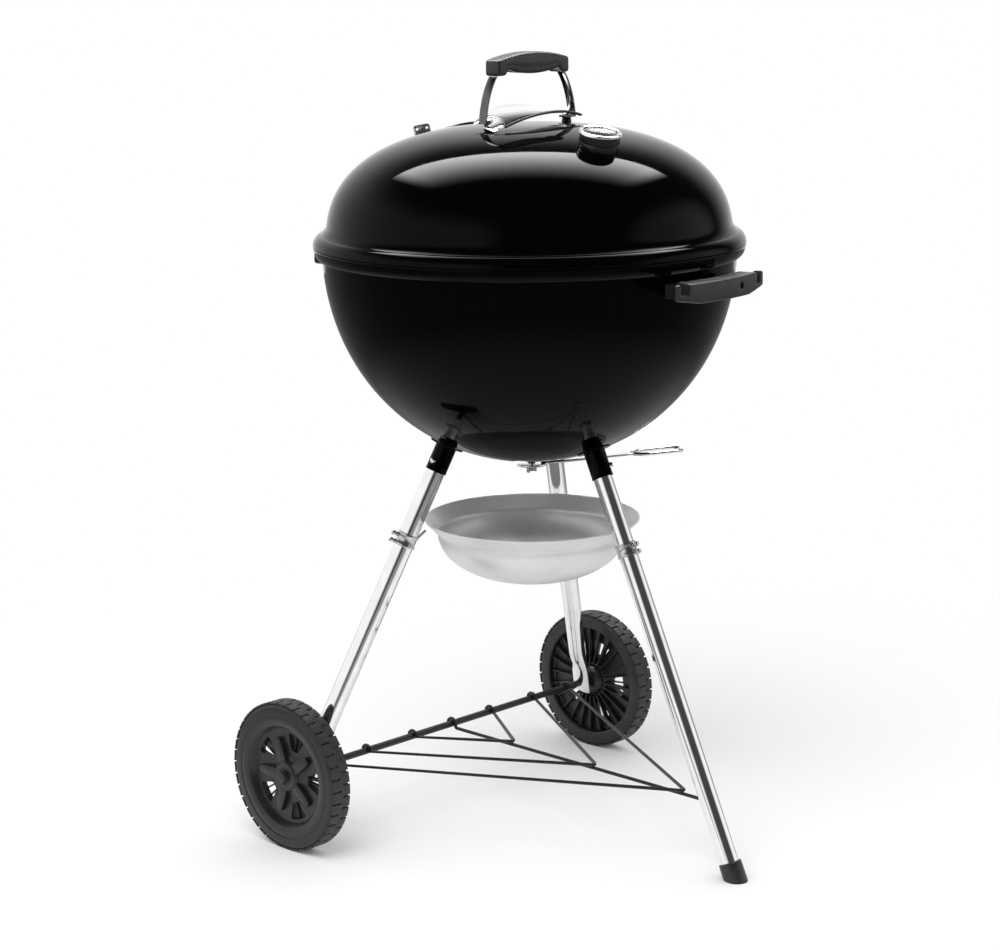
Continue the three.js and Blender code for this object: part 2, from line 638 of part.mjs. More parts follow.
const WIRE = 2.4;
const HOOK_RADIUS = AXLE_RADIUS + WIRE + GAP;
const SPINE_HEIGHT = AXLE_HEIGHT - 2 * WIRE - GAP;
const SPINE_END = -308;
const RACK_WIRES = [
  { name: "inner", x: 77, apex: 40 },
  { name: "middle", x: 165, apex: -113 },
  { name: "outer", x: 238, apex: -270 },
];

// A wire's hook over the axle, at the given place along it.
function axleHook(x) {
  const points = [];
  for (let angle = 190; angle >= -30; angle -= 40) {
    points.push(axlePoint(x).add(vec(0, HOOK_RADIUS * cos(angle), HOOK_RADIUS * sin(angle))));
  }
  return solid(sweep(new THREE.CatmullRomCurve3(points), WIRE, 6, 8));
}

function rackHole() {
  return solid(rod(vec(0, -280, SPINE_HEIGHT), vec(0, SPINE_END - 2, SPINE_HEIGHT), WIRE + GAP, 8));
}

function addRack() {
  for (const { name, x, apex } of RACK_WIRES) {
    for (const [sideName, side] of [["left", -1], ["right", 1]]) {
      const root = axlePoint(side * x).add(vec(0, -HOOK_RADIUS, 0));
      const tip = vec(side * (WIRE + GAP), apex, AXLE_HEIGHT);
      const wire = solid(rod(tip, root, WIRE, 6));
      addNode(`rack_${name}_${sideName}`, wire.add(axleHook(side * x)), "blackWire");
    }
  }
  const start = axlePoint(0).add(vec(0, -HOOK_RADIUS, 0)).setZ(SPINE_HEIGHT);
  const spine = solid(rod(start, vec(0, SPINE_END, SPINE_HEIGHT), WIRE, 6));
  const riser = solid(rod(start, start.clone().setZ(AXLE_HEIGHT + 1), WIRE, 6));
  addNode("rack_spine", join([spine, riser, axleHook(0)]), "blackWire");
}

// ---- Ash catcher and its clips ----

const PAN = { rim: 145.6, rimHeight: 428.6, neck: 128, neckHeight: 408.6, depth: 66.6, wall: 1.4 };

function panCurve(inset) {
  const points = [];
  for (let i = 0; i <= 6; i += 1) {
    const angle = (90 * i) / 6;
    const drop = (PAN.depth - inset) * cos(angle);
    points.push([(PAN.neck - inset) * sin(angle) ** 0.9, PAN.neckHeight - drop]);
  }
  return points;
}

function addAshCatcher() {
  const outer = [...panCurve(0), [PAN.neck + 3, PAN.neckHeight + 3], [PAN.rim, PAN.rimHeight - 3]];
  const inner = [...panCurve(PAN.wall), [PAN.neck + 2, PAN.neckHeight + 4.5]];
  inner.push([PAN.rim - 1.4, PAN.rimHeight]);
  const dish = solid(turned([...outer, [PAN.rim, PAN.rimHeight], ...inner.reverse()], 28));
  addNode("ash_catcher", dish, "aluminium");
}

const CLIP = { height: 409, band: 14.4, half: 9, tipHeight: 420, bolt: 3.2, boltReach: 23, wire: 2 };

// A clip's band round its leg, its two bolts and the sprung wire that grips the pan's flared rim.
function clipOn(leg) {
  const reach = 2 * CLIP.half;
  const bar = (half, radius) =>
    solid(rod(legPoint(leg, CLIP.height - half), legPoint(leg, CLIP.height + half), radius, 14));
  const square = squareOff(leg, leg.bearing);
  const bolts = [-6, 3].map((rise) => {
    const seat = legPoint(leg, CLIP.height + rise);
    const from = seat.clone().addScaledVector(square, TUBE_RADIUS + 0.9);
    return solid(rod(from, seat.addScaledVector(square, CLIP.boltReach), CLIP.bolt, 8));
  });
  const out = bearingVec(leg.bearing);
  const root = legPoint(leg, CLIP.height).addScaledVector(out, -CLIP.band);
  const tip = out.multiplyScalar(PAN.rim + CLIP.wire + 2 * GAP).setZ(CLIP.tipHeight);
  const wire = solid(rod(root, tip, CLIP.wire, 6));
  return join([bar(CLIP.half, CLIP.band), wire, ...bolts]).subtract(bar(reach, TUBE_RADIUS + GAP));
}

function addClips() {
  for (const leg of LEGS) {
    addNode(`ash_clip_${leg.name}`, clipOn(leg), "steel");
  }
}

// ---- Ash sweeper ----

const SWEEP = { bladeReach: 140, bladeWidth: 26, hub: 20, lift: 1.2, sheet: 1.8, shaft: 5 };
const LEVER = { top: 502.5, thickness: 3, width: 12, loopStart: 152, loopEnd: 226, loopHalf: 14, wire: 2.6 };

function addSweeper() {
  const low = domeCurve(BOWL, -1, SHEET + SWEEP.lift, 36, 5);
  const high = domeCurve(BOWL, -1, SHEET + SWEEP.lift + SWEEP.sheet, 36, 5).reverse();
  const skin = solid(turned([...low, ...high], 28));
  const arms = LEGS.map(({ bearing }) => {
    const bar = box(SWEEP.bladeReach, SWEEP.bladeWidth, 200, vec(SWEEP.bladeReach / 2, 0, 560));
    return solid(bar.rotateZ(THREE.MathUtils.degToRad(bearing)));
  });
  const hubTop = 519;
  const hub = solid(rod(vec(0, 0, 500), vec(0, 0, 600), SWEEP.hub, 20));
  const blades = skin.intersect(join([hub, ...arms]));
  const bore = solid(rod(vec(0, 0, 480), vec(0, 0, 560), SWEEP.shaft + GAP, 12));
  addNode("sweeper_blades", blades.subtract(bore), "steel");
  const shaft = solid(rod(vec(0, 0, 492), vec(0, 0, hubTop), SWEEP.shaft, 12));
  const head = solid(rod(vec(0, 0, hubTop), vec(0, 0, hubTop + 4), 9, 6));
  addNode("sweeper_shaft", shaft.add(head), "steel");
  const lower = LEVER.top - LEVER.thickness;
  const disc = solid(rod(vec(0, 0, lower), vec(0, 0, LEVER.top), SWEEP.hub, 20));
  const length = LEVER.loopStart + 6;
  const strip = solid(box(length, LEVER.width, LEVER.thickness, vec(length / 2, 0, lower + 1.5)));
  const turn = new THREE.Matrix4().makeRotationZ(THREE.MathUtils.degToRad(LEVER_BEARING));
  addNode("sweeper_lever", placed(join([disc, strip, leverLoop()]).subtract(bore), turn), "brightSteel");
  const prongs = [-1, 1].map((side) => solid(box(2.4, 4, 9, vec(side * 6.6, 0, lower - GAP - 4.5))));
  const bridge = solid(box(15.6, 4, 2, vec(0, 0, lower - GAP - 1)));
  const shaftRoom = solid(rod(vec(0, 0, 480), vec(0, 0, 510), SWEEP.shaft + GAP, 12));
  const ring = solid(rod(vec(0, 0, lower - GAP - 2), vec(0, 0, lower - GAP), 8, 12));
  addNode("sweeper_pin", join([...prongs, bridge, ring]).subtract(shaftRoom), "steel");
}

// The lever's grip: a wire bent into a long loop that lies flat.
function leverLoop() {
  const { loopStart, loopEnd, loopHalf, wire } = LEVER;
  const z = LEVER.top - LEVER.thickness / 2;
  const points = [vec(loopStart, 3, z), vec(loopStart + 14, loopHalf, z)];
  for (let angle = 90; angle >= -90; angle -= 30) {
    points.push(vec(loopEnd - loopHalf + loopHalf * cos(angle), loopHalf * sin(angle), z));
  }
  points.push(vec(loopStart + 14, -loopHalf, z), vec(loopStart, -3, z));
  return solid(sweep(new THREE.CatmullRomCurve3(points, false, "centripetal"), wire, 6, 22));
}

// ---- Grates ----

function addGrate(name, grate) {
  const ring = solid(new THREE.TorusGeometry(grate.radius, grate.ring, 4, 32).translate(0, 0, grate.height));
  const bars = [];
  const count = Math.floor((grate.radius - 10) / grate.pitch);
  for (let i = -count; i <= count; i += 1) {
    const x = i * grate.pitch;
    const reach = Math.sqrt(grate.radius ** 2 - x ** 2);
    bars.push(solid(rod(vec(x, -reach, grate.height), vec(x, reach, grate.height), grate.rod, 4)));
  }
  for (const y of [-0.45 * grate.radius, 0.45 * grate.radius]) {
    const reach = Math.sqrt(grate.radius ** 2 - y ** 2);
    const z = grate.height - grate.rod;
    bars.push(solid(rod(vec(-reach, y, z), vec(reach, y, z), grate.ring, 4)));
  }
  addNode(name, join([ring, ...bars]), "grateSteel");
}

// Three small ledges welded inside the bowl under each grate.
function addGrateLedges(name, grate) {
  LEGS.forEach(({ bearing }, number) => {
    const top = grate.height - grate.ring - grate.rod - GAP;
    const ledge = box(36, 18, 3, vec(grate.radius + 8, 0, top - 1.5));
    ledge.rotateZ(THREE.MathUtils.degToRad(bearing + 20));
    addNode(`${name}_ledge_${number + 1}`, solid(ledge).intersect(bowlFilling(SHEET + GAP)), "steel");
  });
}

// ---- Assembly ----

addLid();
addVent();
addThermometer();
addLidHandle();
addLidHook();
addBowl();
addBowlHandles();
addLegs();
addFootCap();
addClips();
addWheels();
addRack();
addAshCatcher();
addSweeper();
addGrate("cooking_grate", COOKING_GRATE);
addGrate("charcoal_grate", CHARCOAL_GRATE);
addGrateLedges("cooking", COOKING_GRATE);
addGrateLedges("charcoal", CHARCOAL_GRATE);

const bounds = new THREE.Box3().setFromObject(grill);
const middle = bounds.getCenter(vec(0, 0, 0));
grill.position.set(-middle.x, -middle.y, -bounds.min.z);

export default grill;
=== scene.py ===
import math

import bpy
from mathutils import Matrix, Vector


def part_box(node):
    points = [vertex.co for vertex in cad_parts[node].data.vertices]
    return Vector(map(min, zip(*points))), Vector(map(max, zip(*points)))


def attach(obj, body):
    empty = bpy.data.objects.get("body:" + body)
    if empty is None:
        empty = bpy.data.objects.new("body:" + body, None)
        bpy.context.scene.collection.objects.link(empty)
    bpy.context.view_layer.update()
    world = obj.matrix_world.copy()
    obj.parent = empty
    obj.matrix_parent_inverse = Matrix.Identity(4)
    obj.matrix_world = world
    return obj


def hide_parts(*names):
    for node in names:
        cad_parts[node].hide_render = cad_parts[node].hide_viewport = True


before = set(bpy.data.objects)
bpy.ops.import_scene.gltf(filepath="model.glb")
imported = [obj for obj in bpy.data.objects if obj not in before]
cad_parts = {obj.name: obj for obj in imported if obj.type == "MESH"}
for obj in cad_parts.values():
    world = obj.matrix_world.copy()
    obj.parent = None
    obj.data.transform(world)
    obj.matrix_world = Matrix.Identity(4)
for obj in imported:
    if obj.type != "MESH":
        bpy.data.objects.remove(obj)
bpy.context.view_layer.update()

# Metres, +Z up, in the frame's own axes. The kettle's axis stands at KETTLE.
MM = 0.001


def middle(node):
    low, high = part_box(node)
    return (low + high) / 2


KETTLE = Matrix.Translation((0, middle("charcoal_grate").y, 0))
SHEET = 2 * MM
GAP = 0.35 * MM
LID = {"radius": 0.2693, "height": 0.1575, "power": 2.5, "base": 0.7997, "way": 1}
BOWL = {"radius": 0.2745, "height": 0.29, "power": 2.05, "base": 0.7997, "way": -1}
RIM_HEIGHT = 0.801
FITTING_RADIUS = 0.165
VENT_BEARING = 76
GAUGE_BEARING = VENT_BEARING - 180
HANDLE_BEARING = -87
LEVER_BEARING = -22
TUBE_RADIUS = 12.7 * MM
TUBE_WALL = 1.5 * MM
LEG_BREAK = 0.5
WHEEL_RADIUS = 0.1016
WHEEL_LEG = {"root": 0.133, "slope": 0.462}
FRONT_LEG = {"root": 0.129, "slope": 0.456}
LEGS = {
    "left": {"bearing": 149.3, "line": WHEEL_LEG},
    "right": {"bearing": 30.7, "line": WHEEL_LEG},
    "front": {"bearing": -90, "line": FRONT_LEG},
}


# ---- Shaping ----

def bearing_vec(bearing):
    angle = math.radians(bearing)
    return Vector((math.cos(angle), math.sin(angle), 0))


def aim(origin, z_axis, x_hint):
    """A place whose Z is the given direction and whose X is as near as it can be to the hint."""
    z = Vector(z_axis).normalized()
    x = (Vector(x_hint) - z * Vector(x_hint).dot(z)).normalized()
    y = z.cross(x)
    matrix = Matrix((x, y, z)).transposed().to_4x4()
    matrix.translation = origin
    return matrix


def turn_z(bearing):
    return Matrix.Rotation(math.radians(bearing), 4, "Z")


def use(piece):
    bpy.ops.object.select_all(action="DESELECT")
    piece.select_set(True)
    bpy.context.view_layer.objects.active = piece


def tidy_mesh(piece, weld=1e-6):
    use(piece)
    bpy.ops.object.mode_set(mode="EDIT")
    bpy.ops.mesh.select_all(action="SELECT")
    bpy.ops.mesh.remove_doubles(threshold=weld)
    bpy.ops.mesh.normals_make_consistent(inside=False)
    bpy.ops.object.mode_set(mode="OBJECT")
    return piece


def draw_line(name, points):
    """A line drawn from vertex to vertex, left selected in edit mode."""
    bpy.ops.object.select_all(action="DESELECT")
    bpy.ops.mesh.primitive_plane_add(size=MM)
    piece = bpy.context.object
    piece.name = name
    bpy.ops.object.mode_set(mode="EDIT")
    bpy.ops.mesh.merge(type="CENTER")
    bpy.ops.transform.translate(value=tuple(points[0]))
    for before, after in zip(points, points[1:]):
        step = tuple(after - before)
        bpy.ops.mesh.extrude_vertices_move(TRANSFORM_OT_translate={"value": step})
    bpy.ops.mesh.select_all(action="SELECT")
    return piece


def spun(name, profile, segments=96):
    """A piece spun about the Z axis from (radius, height) points."""
    piece = draw_line(name, [Vector((radius, 0, height)) for radius, height in profile])
    bpy.ops.mesh.spin(steps=segments, angle=math.tau, center=(0, 0, 0), axis=(0, 0, 1))
    bpy.ops.object.mode_set(mode="OBJECT")
    return tidy_mesh(piece)


def closed(profile):
    return [*profile, profile[0]]


def extruded(name, outline, depth):
    """A flat outline in X and Y, raised along Z."""
    piece = draw_line(name, [Vector((x, y, 0)) for x, y in outline])
    bpy.ops.mesh.edge_face_add()
    bpy.ops.mesh.extrude_region_move(TRANSFORM_OT_translate={"value": (0, 0, depth)})
    bpy.ops.object.mode_set(mode="OBJECT")
    return tidy_mesh(piece)


def upright(name, outline, width):
    """An outline in X and Z, with its width along Y and its middle on y = 0."""
    piece = extruded(name, outline, width)
    return placed(piece, Matrix.Translation((0, width / 2, 0)) @ Matrix.Rotation(math.pi / 2, 4, "X"))


def placed(piece, matrix):
    piece.data.transform(matrix)
    piece.data.update()
    return piece


def apply(piece, modifier):
    use(piece)
    bpy.ops.object.modifier_apply(modifier=modifier.name)
    return piece


def rounded(piece, width, segments=3, angle=35):
    modifier = piece.modifiers.new("round", "BEVEL")
    modifier.width = width
    modifier.segments = segments
    modifier.limit_method = "ANGLE"
    modifier.angle_limit = math.radians(angle)
    modifier.harden_normals = False
    return apply(piece, modifier)


def carved(piece, cutters, operation="DIFFERENCE"):
    for cutter in cutters:
        modifier = piece.modifiers.new("carve", "BOOLEAN")
        modifier.operation = operation
        modifier.solver = "EXACT"
        modifier.object = cutter
        apply(piece, modifier)
        bpy.data.objects.remove(cutter)
    return piece


def copied(piece, matrix):
    twin = piece.copy()
    twin.data = piece.data.copy()
    bpy.context.scene.collection.objects.link(twin)
    return placed(twin, matrix)


def joined(name, pieces):
    use(pieces[0])
    for piece in pieces:
        piece.select_set(True)
    if len(pieces) > 1:
        bpy.ops.object.join()
    pieces[0].name = name
    return pieces[0]


def rod(start, end, radius, sides=24, edge=0.0):
    along = Vector(end) - Vector(start)
    bpy.ops.object.select_all(action="DESELECT")
    bpy.ops.mesh.primitive_cylinder_add(vertices=sides, radius=radius, depth=along.length)
    piece = bpy.context.object
    if edge:
        rounded(piece, edge, 3, 50)
    hint = (0, 0, 1) if abs(along.z) < 0.9 * along.length else (1, 0, 0)
    return placed(piece, aim((Vector(start) + Vector(end)) / 2, along, hint))


def block(size, centre, edge=0.0):
    bpy.ops.object.select_all(action="DESELECT")
    bpy.ops.mesh.primitive_cube_add(size=1)
    piece = bpy.context.object
    placed(piece, Matrix.Diagonal((*size, 1)))
    if edge:
        rounded(piece, edge, 2)
    return placed(piece, Matrix.Translation(centre))


def rounded_path(points, radius, steps=6):
    """The corners of a path replaced by short curves."""
    path = [Vector(points[0])]
    for before, corner, after in zip(points, points[1:], points[2:]):
        corner = Vector(corner)
        start = corner + (Vector(before) - corner).normalized() * radius
        end = corner + (Vector(after) - corner).normalized() * radius
        for i in range(steps + 1):
            t = i / steps
            path.append(start * (1 - t) ** 2 + corner * 2 * t * (1 - t) + end * t**2)
    path.append(Vector(points[-1]))
    return path


def wire(name, points, radius, cyclic=False, sides=4):
    """A round wire along a path."""
    curve = bpy.data.curves.new(name, "CURVE")
    curve.dimensions = "3D"
    curve.bevel_depth = radius
    curve.bevel_resolution = sides
    curve.use_fill_caps = not cyclic
    spline = curve.splines.new("POLY")
    spline.points.add(len(points) - 1)
    for point, at in zip(spline.points, points):
        point.co = (*at, 1)
    spline.use_cyclic_u = cyclic
    piece = bpy.data.objects.new(name, curve)
    bpy.context.scene.collection.objects.link(piece)
    use(piece)
    bpy.ops.object.convert(target="MESH")
    return tidy_mesh(bpy.context.object)


def from_frame(node, edge=0.3 * MM, angle=38):
    """A copy of a frame node with its facets merged and its edges broken."""
    piece = bpy.data.objects.new(node + "_finished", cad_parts[node].data.copy())
    bpy.context.scene.collection.objects.link(piece)
    use(piece)
    bpy.ops.mesh.customdata_custom_splitnormals_clear()
    bpy.ops.object.mode_set(mode="EDIT")
    bpy.ops.mesh.select_all(action="SELECT")
    bpy.ops.mesh.remove_doubles(threshold=2e-6)
    bpy.ops.mesh.dissolve_limited(angle_limit=math.radians(0.5))
    bpy.ops.object.mode_set(mode="OBJECT")
    if edge:
        rounded(piece, edge, 2, angle)
    return piece


def finish_piece(name, piece, body, slot, nodes, smooth=35, material=None):
    """Names a piece, gives it its finish, hangs it under the empty of the body that carries it and hides the
    frame nodes it stands for.
    """
    piece.name = name
    piece.data.name = name
    use(piece)
    bpy.ops.object.shade_smooth_by_angle(angle=math.radians(smooth))
    piece.data.materials.clear()
    piece.data.materials.append(MATERIALS[material or slot])
    for polygon in piece.data.polygons:
        polygon.material_index = 0
    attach(piece, body)
    if nodes:
        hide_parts(*nodes)
    return piece


# ---- Finishes ----

def new_group(name, inputs, outputs):
    group = bpy.data.node_groups.new(name, "ShaderNodeTree")
    for label, kind, value in inputs:
        socket = group.interface.new_socket(label, in_out="INPUT", socket_type=kind)
        if value is not None:
            socket.default_value = value
    for label, kind in outputs:
        group.interface.new_socket(label, in_out="OUTPUT", socket_type=kind)
    start = group.nodes.new("NodeGroupInput")
    end = group.nodes.new("NodeGroupOutput")
    return group, start, end


def math_node(tree, operation, first, second=None, clamp=False):
    node = tree.nodes.new("ShaderNodeMath")
    node.operation = operation
    node.use_clamp = clamp
    for socket, value in zip(node.inputs, (first, second)):
        if value is None:
            continue
        if isinstance(value, (int, float)):
            socket.default_value = value
        else:
            tree.links.new(value, socket)
    return node.outputs[0]


def grain_group():
    """Fine noise: a value between Low and High, and the height it stands at."""
    group, start, end = new_group(
        "fine_grain",
        [("Place", "NodeSocketVector", None), ("Scale", "NodeSocketFloat", 200.0),
         ("Low", "NodeSocketFloat", 0.0), ("High", "NodeSocketFloat", 1.0)],
        [("Value", "NodeSocketFloat"), ("Height", "NodeSocketFloat")])
    noise = group.nodes.new("ShaderNodeTexNoise")
    noise.inputs["Detail"].default_value = 4
    noise.inputs["Roughness"].default_value = 0.6
    spread = group.nodes.new("ShaderNodeMapRange")
    spread.inputs["From Min"].default_value = 0.3
    spread.inputs["From Max"].default_value = 0.7
    group.links.new(start.outputs["Place"], noise.inputs["Vector"])
    group.links.new(start.outputs["Scale"], noise.inputs["Scale"])
    group.links.new(noise.outputs["Fac"], spread.inputs["Value"])
    group.links.new(start.outputs["Low"], spread.inputs["To Min"])
    group.links.new(start.outputs["High"], spread.inputs["To Max"])
    group.links.new(spread.outputs["Result"], end.inputs["Value"])
    group.links.new(noise.outputs["Fac"], end.inputs["Height"])
    return group


def streak_group():
    """Long faint lines along Z, such as drawing marks on a tube."""
    group, start, end = new_group(
        "drawn_streaks",
        [("Place", "NodeSocketVector", None), ("Stretch", "NodeSocketVector", (1, 1, 0.02)),
         ("Scale", "NodeSocketFloat", 400.0)],
        [("Mask", "NodeSocketFloat")])
    mapping = group.nodes.new("ShaderNodeVectorMath")
    mapping.operation = "MULTIPLY"
    noise = group.nodes.new("ShaderNodeTexNoise")
    noise.inputs["Detail"].default_value = 3
    group.links.new(start.outputs["Place"], mapping.inputs[0])
    group.links.new(start.outputs["Stretch"], mapping.inputs[1])
    group.links.new(mapping.outputs[0], noise.inputs["Vector"])
    group.links.new(start.outputs["Scale"], noise.inputs["Scale"])
    group.links.new(noise.outputs["Fac"], end.inputs["Mask"])
    return group


def dust_group():
    """A broken mask of settled dust on faces that look up."""
    group, start, end = new_group(
        "settled_dust",
        [("Place", "NodeSocketVector", None), ("Amount", "NodeSocketFloat", 0.1)],
        [("Mask", "NodeSocketFloat")])
    geometry = group.nodes.new("ShaderNodeNewGeometry")
    split = group.nodes.new("ShaderNodeSeparateXYZ")
    group.links.new(geometry.outputs["Normal"], split.inputs[0])
    up = math_node(group, "POWER", math_node(group, "MAXIMUM", split.outputs["Z"], 0.0), 3.0)
    noise = group.nodes.new("ShaderNodeTexNoise")
    noise.inputs["Scale"].default_value = 35
    noise.inputs["Detail"].default_value = 6
    group.links.new(start.outputs["Place"], noise.inputs["Vector"])
    patchy = math_node(group, "MULTIPLY", up, noise.outputs["Fac"])
    amount = math_node(group, "MULTIPLY", patchy, start.outputs["Amount"], clamp=True)
    group.links.new(amount, end.inputs["Mask"])
    return group


def edge_group():
    """A mask that is bright along worn outer edges."""
    group, start, end = new_group(
        "worn_edges",
        [("Place", "NodeSocketVector", None), ("Amount", "NodeSocketFloat", 0.5)],
        [("Mask", "NodeSocketFloat")])
    geometry = group.nodes.new("ShaderNodeNewGeometry")
    ramp = group.nodes.new("ShaderNodeMapRange")
    ramp.inputs["From Min"].default_value = 0.52
    ramp.inputs["From Max"].default_value = 0.62
    noise = group.nodes.new("ShaderNodeTexNoise")
    noise.inputs["Scale"].default_value = 90
    group.links.new(start.outputs["Place"], noise.inputs["Vector"])
    group.links.new(geometry.outputs["Pointiness"], ramp.inputs["Value"])
    broken = math_node(group, "MULTIPLY", ramp.outputs["Result"], noise.outputs["Fac"])
    amount = math_node(group, "MULTIPLY", broken, start.outputs["Amount"], clamp=True)
    group.links.new(amount, end.inputs["Mask"])
    return group


GRAIN = grain_group()
STREAKS = streak_group()
DUST = dust_group()
EDGES = edge_group()


class Finish:
    """A material that is built from the shared effects."""

    def __init__(self, name, metallic=0.0, **constants):
        self.material = bpy.data.materials.new(name)
        self.material.use_nodes = True
        self.tree = self.material.node_tree
        self.shader = self.tree.nodes["Principled BSDF"]
        self.shader.inputs["Metallic"].default_value = metallic
        for label, value in constants.items():
            self.shader.inputs[label.replace("_", " ")].default_value = value
        self.place = self.tree.nodes.new("ShaderNodeTexCoord").outputs["Object"]

    def effect(self, group, **values):
        node = self.tree.nodes.new("ShaderNodeGroup")
        node.node_tree = group
        self.tree.links.new(self.place, node.inputs["Place"])
        for label, value in values.items():
            node.inputs[label].default_value = value
        return node

    def roughness(self, low, high, scale):
        grain = self.effect(GRAIN, Scale=scale, Low=low, High=high)
        self.tree.links.new(grain.outputs["Value"], self.shader.inputs["Roughness"])
        return grain

    def bump(self, height, strength, distance):
        node = self.tree.nodes.new("ShaderNodeBump")
        node.inputs["Strength"].default_value = strength
        node.inputs["Distance"].default_value = distance
        self.tree.links.new(height, node.inputs["Height"])
        self.tree.links.new(node.outputs[0], self.shader.inputs["Normal"])

    def colour(self, base, other, *masks):
        """The base colour, drifting to another wherever any of the masks is bright."""
        mix = self.tree.nodes.new("ShaderNodeMix")
        mix.data_type = "RGBA"
        mix.inputs["A"].default_value = (*base, 1)
        mix.inputs["B"].default_value = (*other, 1)
        total = masks[0]
        for mask in masks[1:]:
            total = math_node(self.tree, "ADD", total, mask, clamp=True)
        self.tree.links.new(total, mix.inputs["Factor"])
        self.tree.links.new(mix.outputs["Result"], self.shader.inputs["Base Color"])


def grey(value):
    return (value, value, value * 1.01)


def enamel():
    finish = Finish("black_enamel", Specular_IOR_Level=0.06)
    finish.roughness(0.035, 0.07, 60)
    peel = finish.effect(GRAIN, Scale=140, Low=0, High=1)
    dust = finish.effect(DUST, Amount=0.008)
    finish.colour(grey(0.0006), grey(0.08), dust.outputs["Mask"])
    finish.bump(peel.outputs["Height"], 0.02, 0.2 * MM)
    return finish.material


def moulded(name, dark, light, rough, grain_scale, bump):
    """Black moulded plastic with a fine spark-eroded grain."""
    finish = Finish(name, Specular_IOR_Level=0.45)
    finish.roughness(rough - 0.06, rough + 0.06, 250)
    grain = finish.effect(GRAIN, Scale=grain_scale, Low=0, High=1)
    drift = finish.effect(GRAIN, Scale=30, Low=0, High=0.4)
    edges = finish.effect(EDGES, Amount=0.6)
    finish.colour(grey(dark), grey(light), drift.outputs["Value"], edges.outputs["Mask"])
    finish.bump(grain.outputs["Height"], bump, 0.15 * MM)
    return finish.material


def metal(name, bright, dull, rough, grain_scale, bump, stretch=(1, 1, 0.02)):
    """Metal whose brightness and polish wander along drawn lines."""
    finish = Finish(name, metallic=1.0)
    streaks = finish.effect(STREAKS, Scale=grain_scale, Stretch=stretch)
    spread = finish.tree.nodes.new("ShaderNodeMapRange")
    spread.inputs["From Min"].default_value = 0.35
    spread.inputs["From Max"].default_value = 0.7
    spread.inputs["To Min"].default_value = rough * 0.75
    spread.inputs["To Max"].default_value = rough * 1.25
    finish.tree.links.new(streaks.outputs["Mask"], spread.inputs["Value"])
    finish.tree.links.new(spread.outputs["Result"], finish.shader.inputs["Roughness"])
    drift = finish.effect(GRAIN, Scale=45, Low=0, High=1)
    finish.colour(grey(bright), grey(dull), drift.outputs["Value"])
    finish.bump(streaks.outputs["Mask"], bump, 0.1 * MM)
    return finish.material


def satin(name, bright, dull, rough):
    """Pressed sheet with a fine matt tooth."""
    finish = Finish(name, metallic=0.5)
    finish.roughness(rough - 0.04, rough + 0.05, 320)
    tooth = finish.effect(GRAIN, Scale=700, Low=0, High=1)
    drift = finish.effect(GRAIN, Scale=25, Low=0, High=1)
    finish.colour(grey(bright), grey(dull), drift.outputs["Value"])
    finish.bump(tooth.outputs["Height"], 0.25, 0.12 * MM)
    return finish.material


def coated_wire():
    finish = Finish("black_wire_coat", Specular_IOR_Level=0.4)
    finish.roughness(0.32, 0.46, 300)
    peel = finish.effect(GRAIN, Scale=500, Low=0, High=1)
    drift = finish.effect(GRAIN, Scale=50, Low=0, High=0.5)
    finish.colour(grey(0.006), grey(0.02), drift.outputs["Value"])
    finish.bump(peel.outputs["Height"], 0.15, 0.1 * MM)
    return finish.material


def printed(name, base, other):
    finish = Finish(name)
    finish.roughness(0.3, 0.42, 400)
    tooth = finish.effect(GRAIN, Scale=800, Low=0, High=1)
    drift = finish.effect(GRAIN, Scale=120, Low=0, High=0.5)
    finish.colour(base, other, drift.outputs["Value"])
    finish.bump(tooth.outputs["Height"], 0.05, 0.05 * MM)
    return finish.material


def clear_glass():
    finish = Finish("gauge_glass", Transmission_Weight=1.0, IOR=1.45)
    finish.roughness(0.0, 0.02, 90)
    drift = finish.effect(GRAIN, Scale=60, Low=0, High=1)
    finish.colour((0.97, 0.98, 0.98), (0.99, 1.0, 1.0), drift.outputs["Value"])
    finish.bump(drift.outputs["Height"], 0.004, 0.05 * MM)
    return finish.material


MATERIALS = {
    "enamel": enamel(),
    # The handle straps are bright steel; this steel is made dark in colour to paint in the dark reflections
    # they show: painted shade.
    "painted_shade_strap": metal("painted_shade_strap_metal", 0.16, 0.1, 0.1, 500, 0.03),
    "gauge_plastic": moulded("gauge_plastic", 0.004, 0.008, 0.16, 900, 0.03),
    "nylon": moulded("glass_filled_nylon", 0.008, 0.03, 0.42, 900, 0.22),
    "bright_steel": metal("plated_steel", 0.9, 0.8, 0.07, 500, 0.03),
    "steel": metal("satin_steel", 0.62, 0.5, 0.24, 600, 0.08),
    "satin_aluminium": satin("satin_aluminium", 0.72, 0.66, 0.4),
    "black_wire": coated_wire(),
    "wheel_plastic": moulded("wheel_plastic", 0.008, 0.018, 0.36, 700, 0.15),
    "tread_plastic": moulded("tread_plastic", 0.018, 0.035, 0.6, 500, 0.3),
    "grate_steel": metal("plated_grate_wire", 0.6, 0.48, 0.25, 500, 0.06, (0.02, 1, 1)),
    "glass": clear_glass(),
    "dial": printed("dial_print", (0.78, 0.78, 0.76), (0.68, 0.68, 0.66)),
    "dial_ink": printed("dial_ink", (0.02, 0.02, 0.02), (0.04, 0.04, 0.04)),
    "pointer": printed("pointer_paint", (0.3, 0.02, 0.02), (0.22, 0.015, 0.015)),
}


# ---- Kettle shells ----

def dome_curve(shell, inset, sweep, count):
    points = []
    for i in range(count + 1):
        angle = math.radians(sweep * i / count)
        radius = (shell["radius"] - inset) * math.sin(angle) ** (2 / shell["power"])
        rise = (shell["height"] - inset) * math.cos(angle) ** (2 / shell["power"])
        points.append((radius, shell["base"] + shell["way"] * rise))
    return points


def dome_height(shell, radius):
    share = radius / shell["radius"]
    return shell["height"] * (1 - share ** shell["power"]) ** (1 / shell["power"])


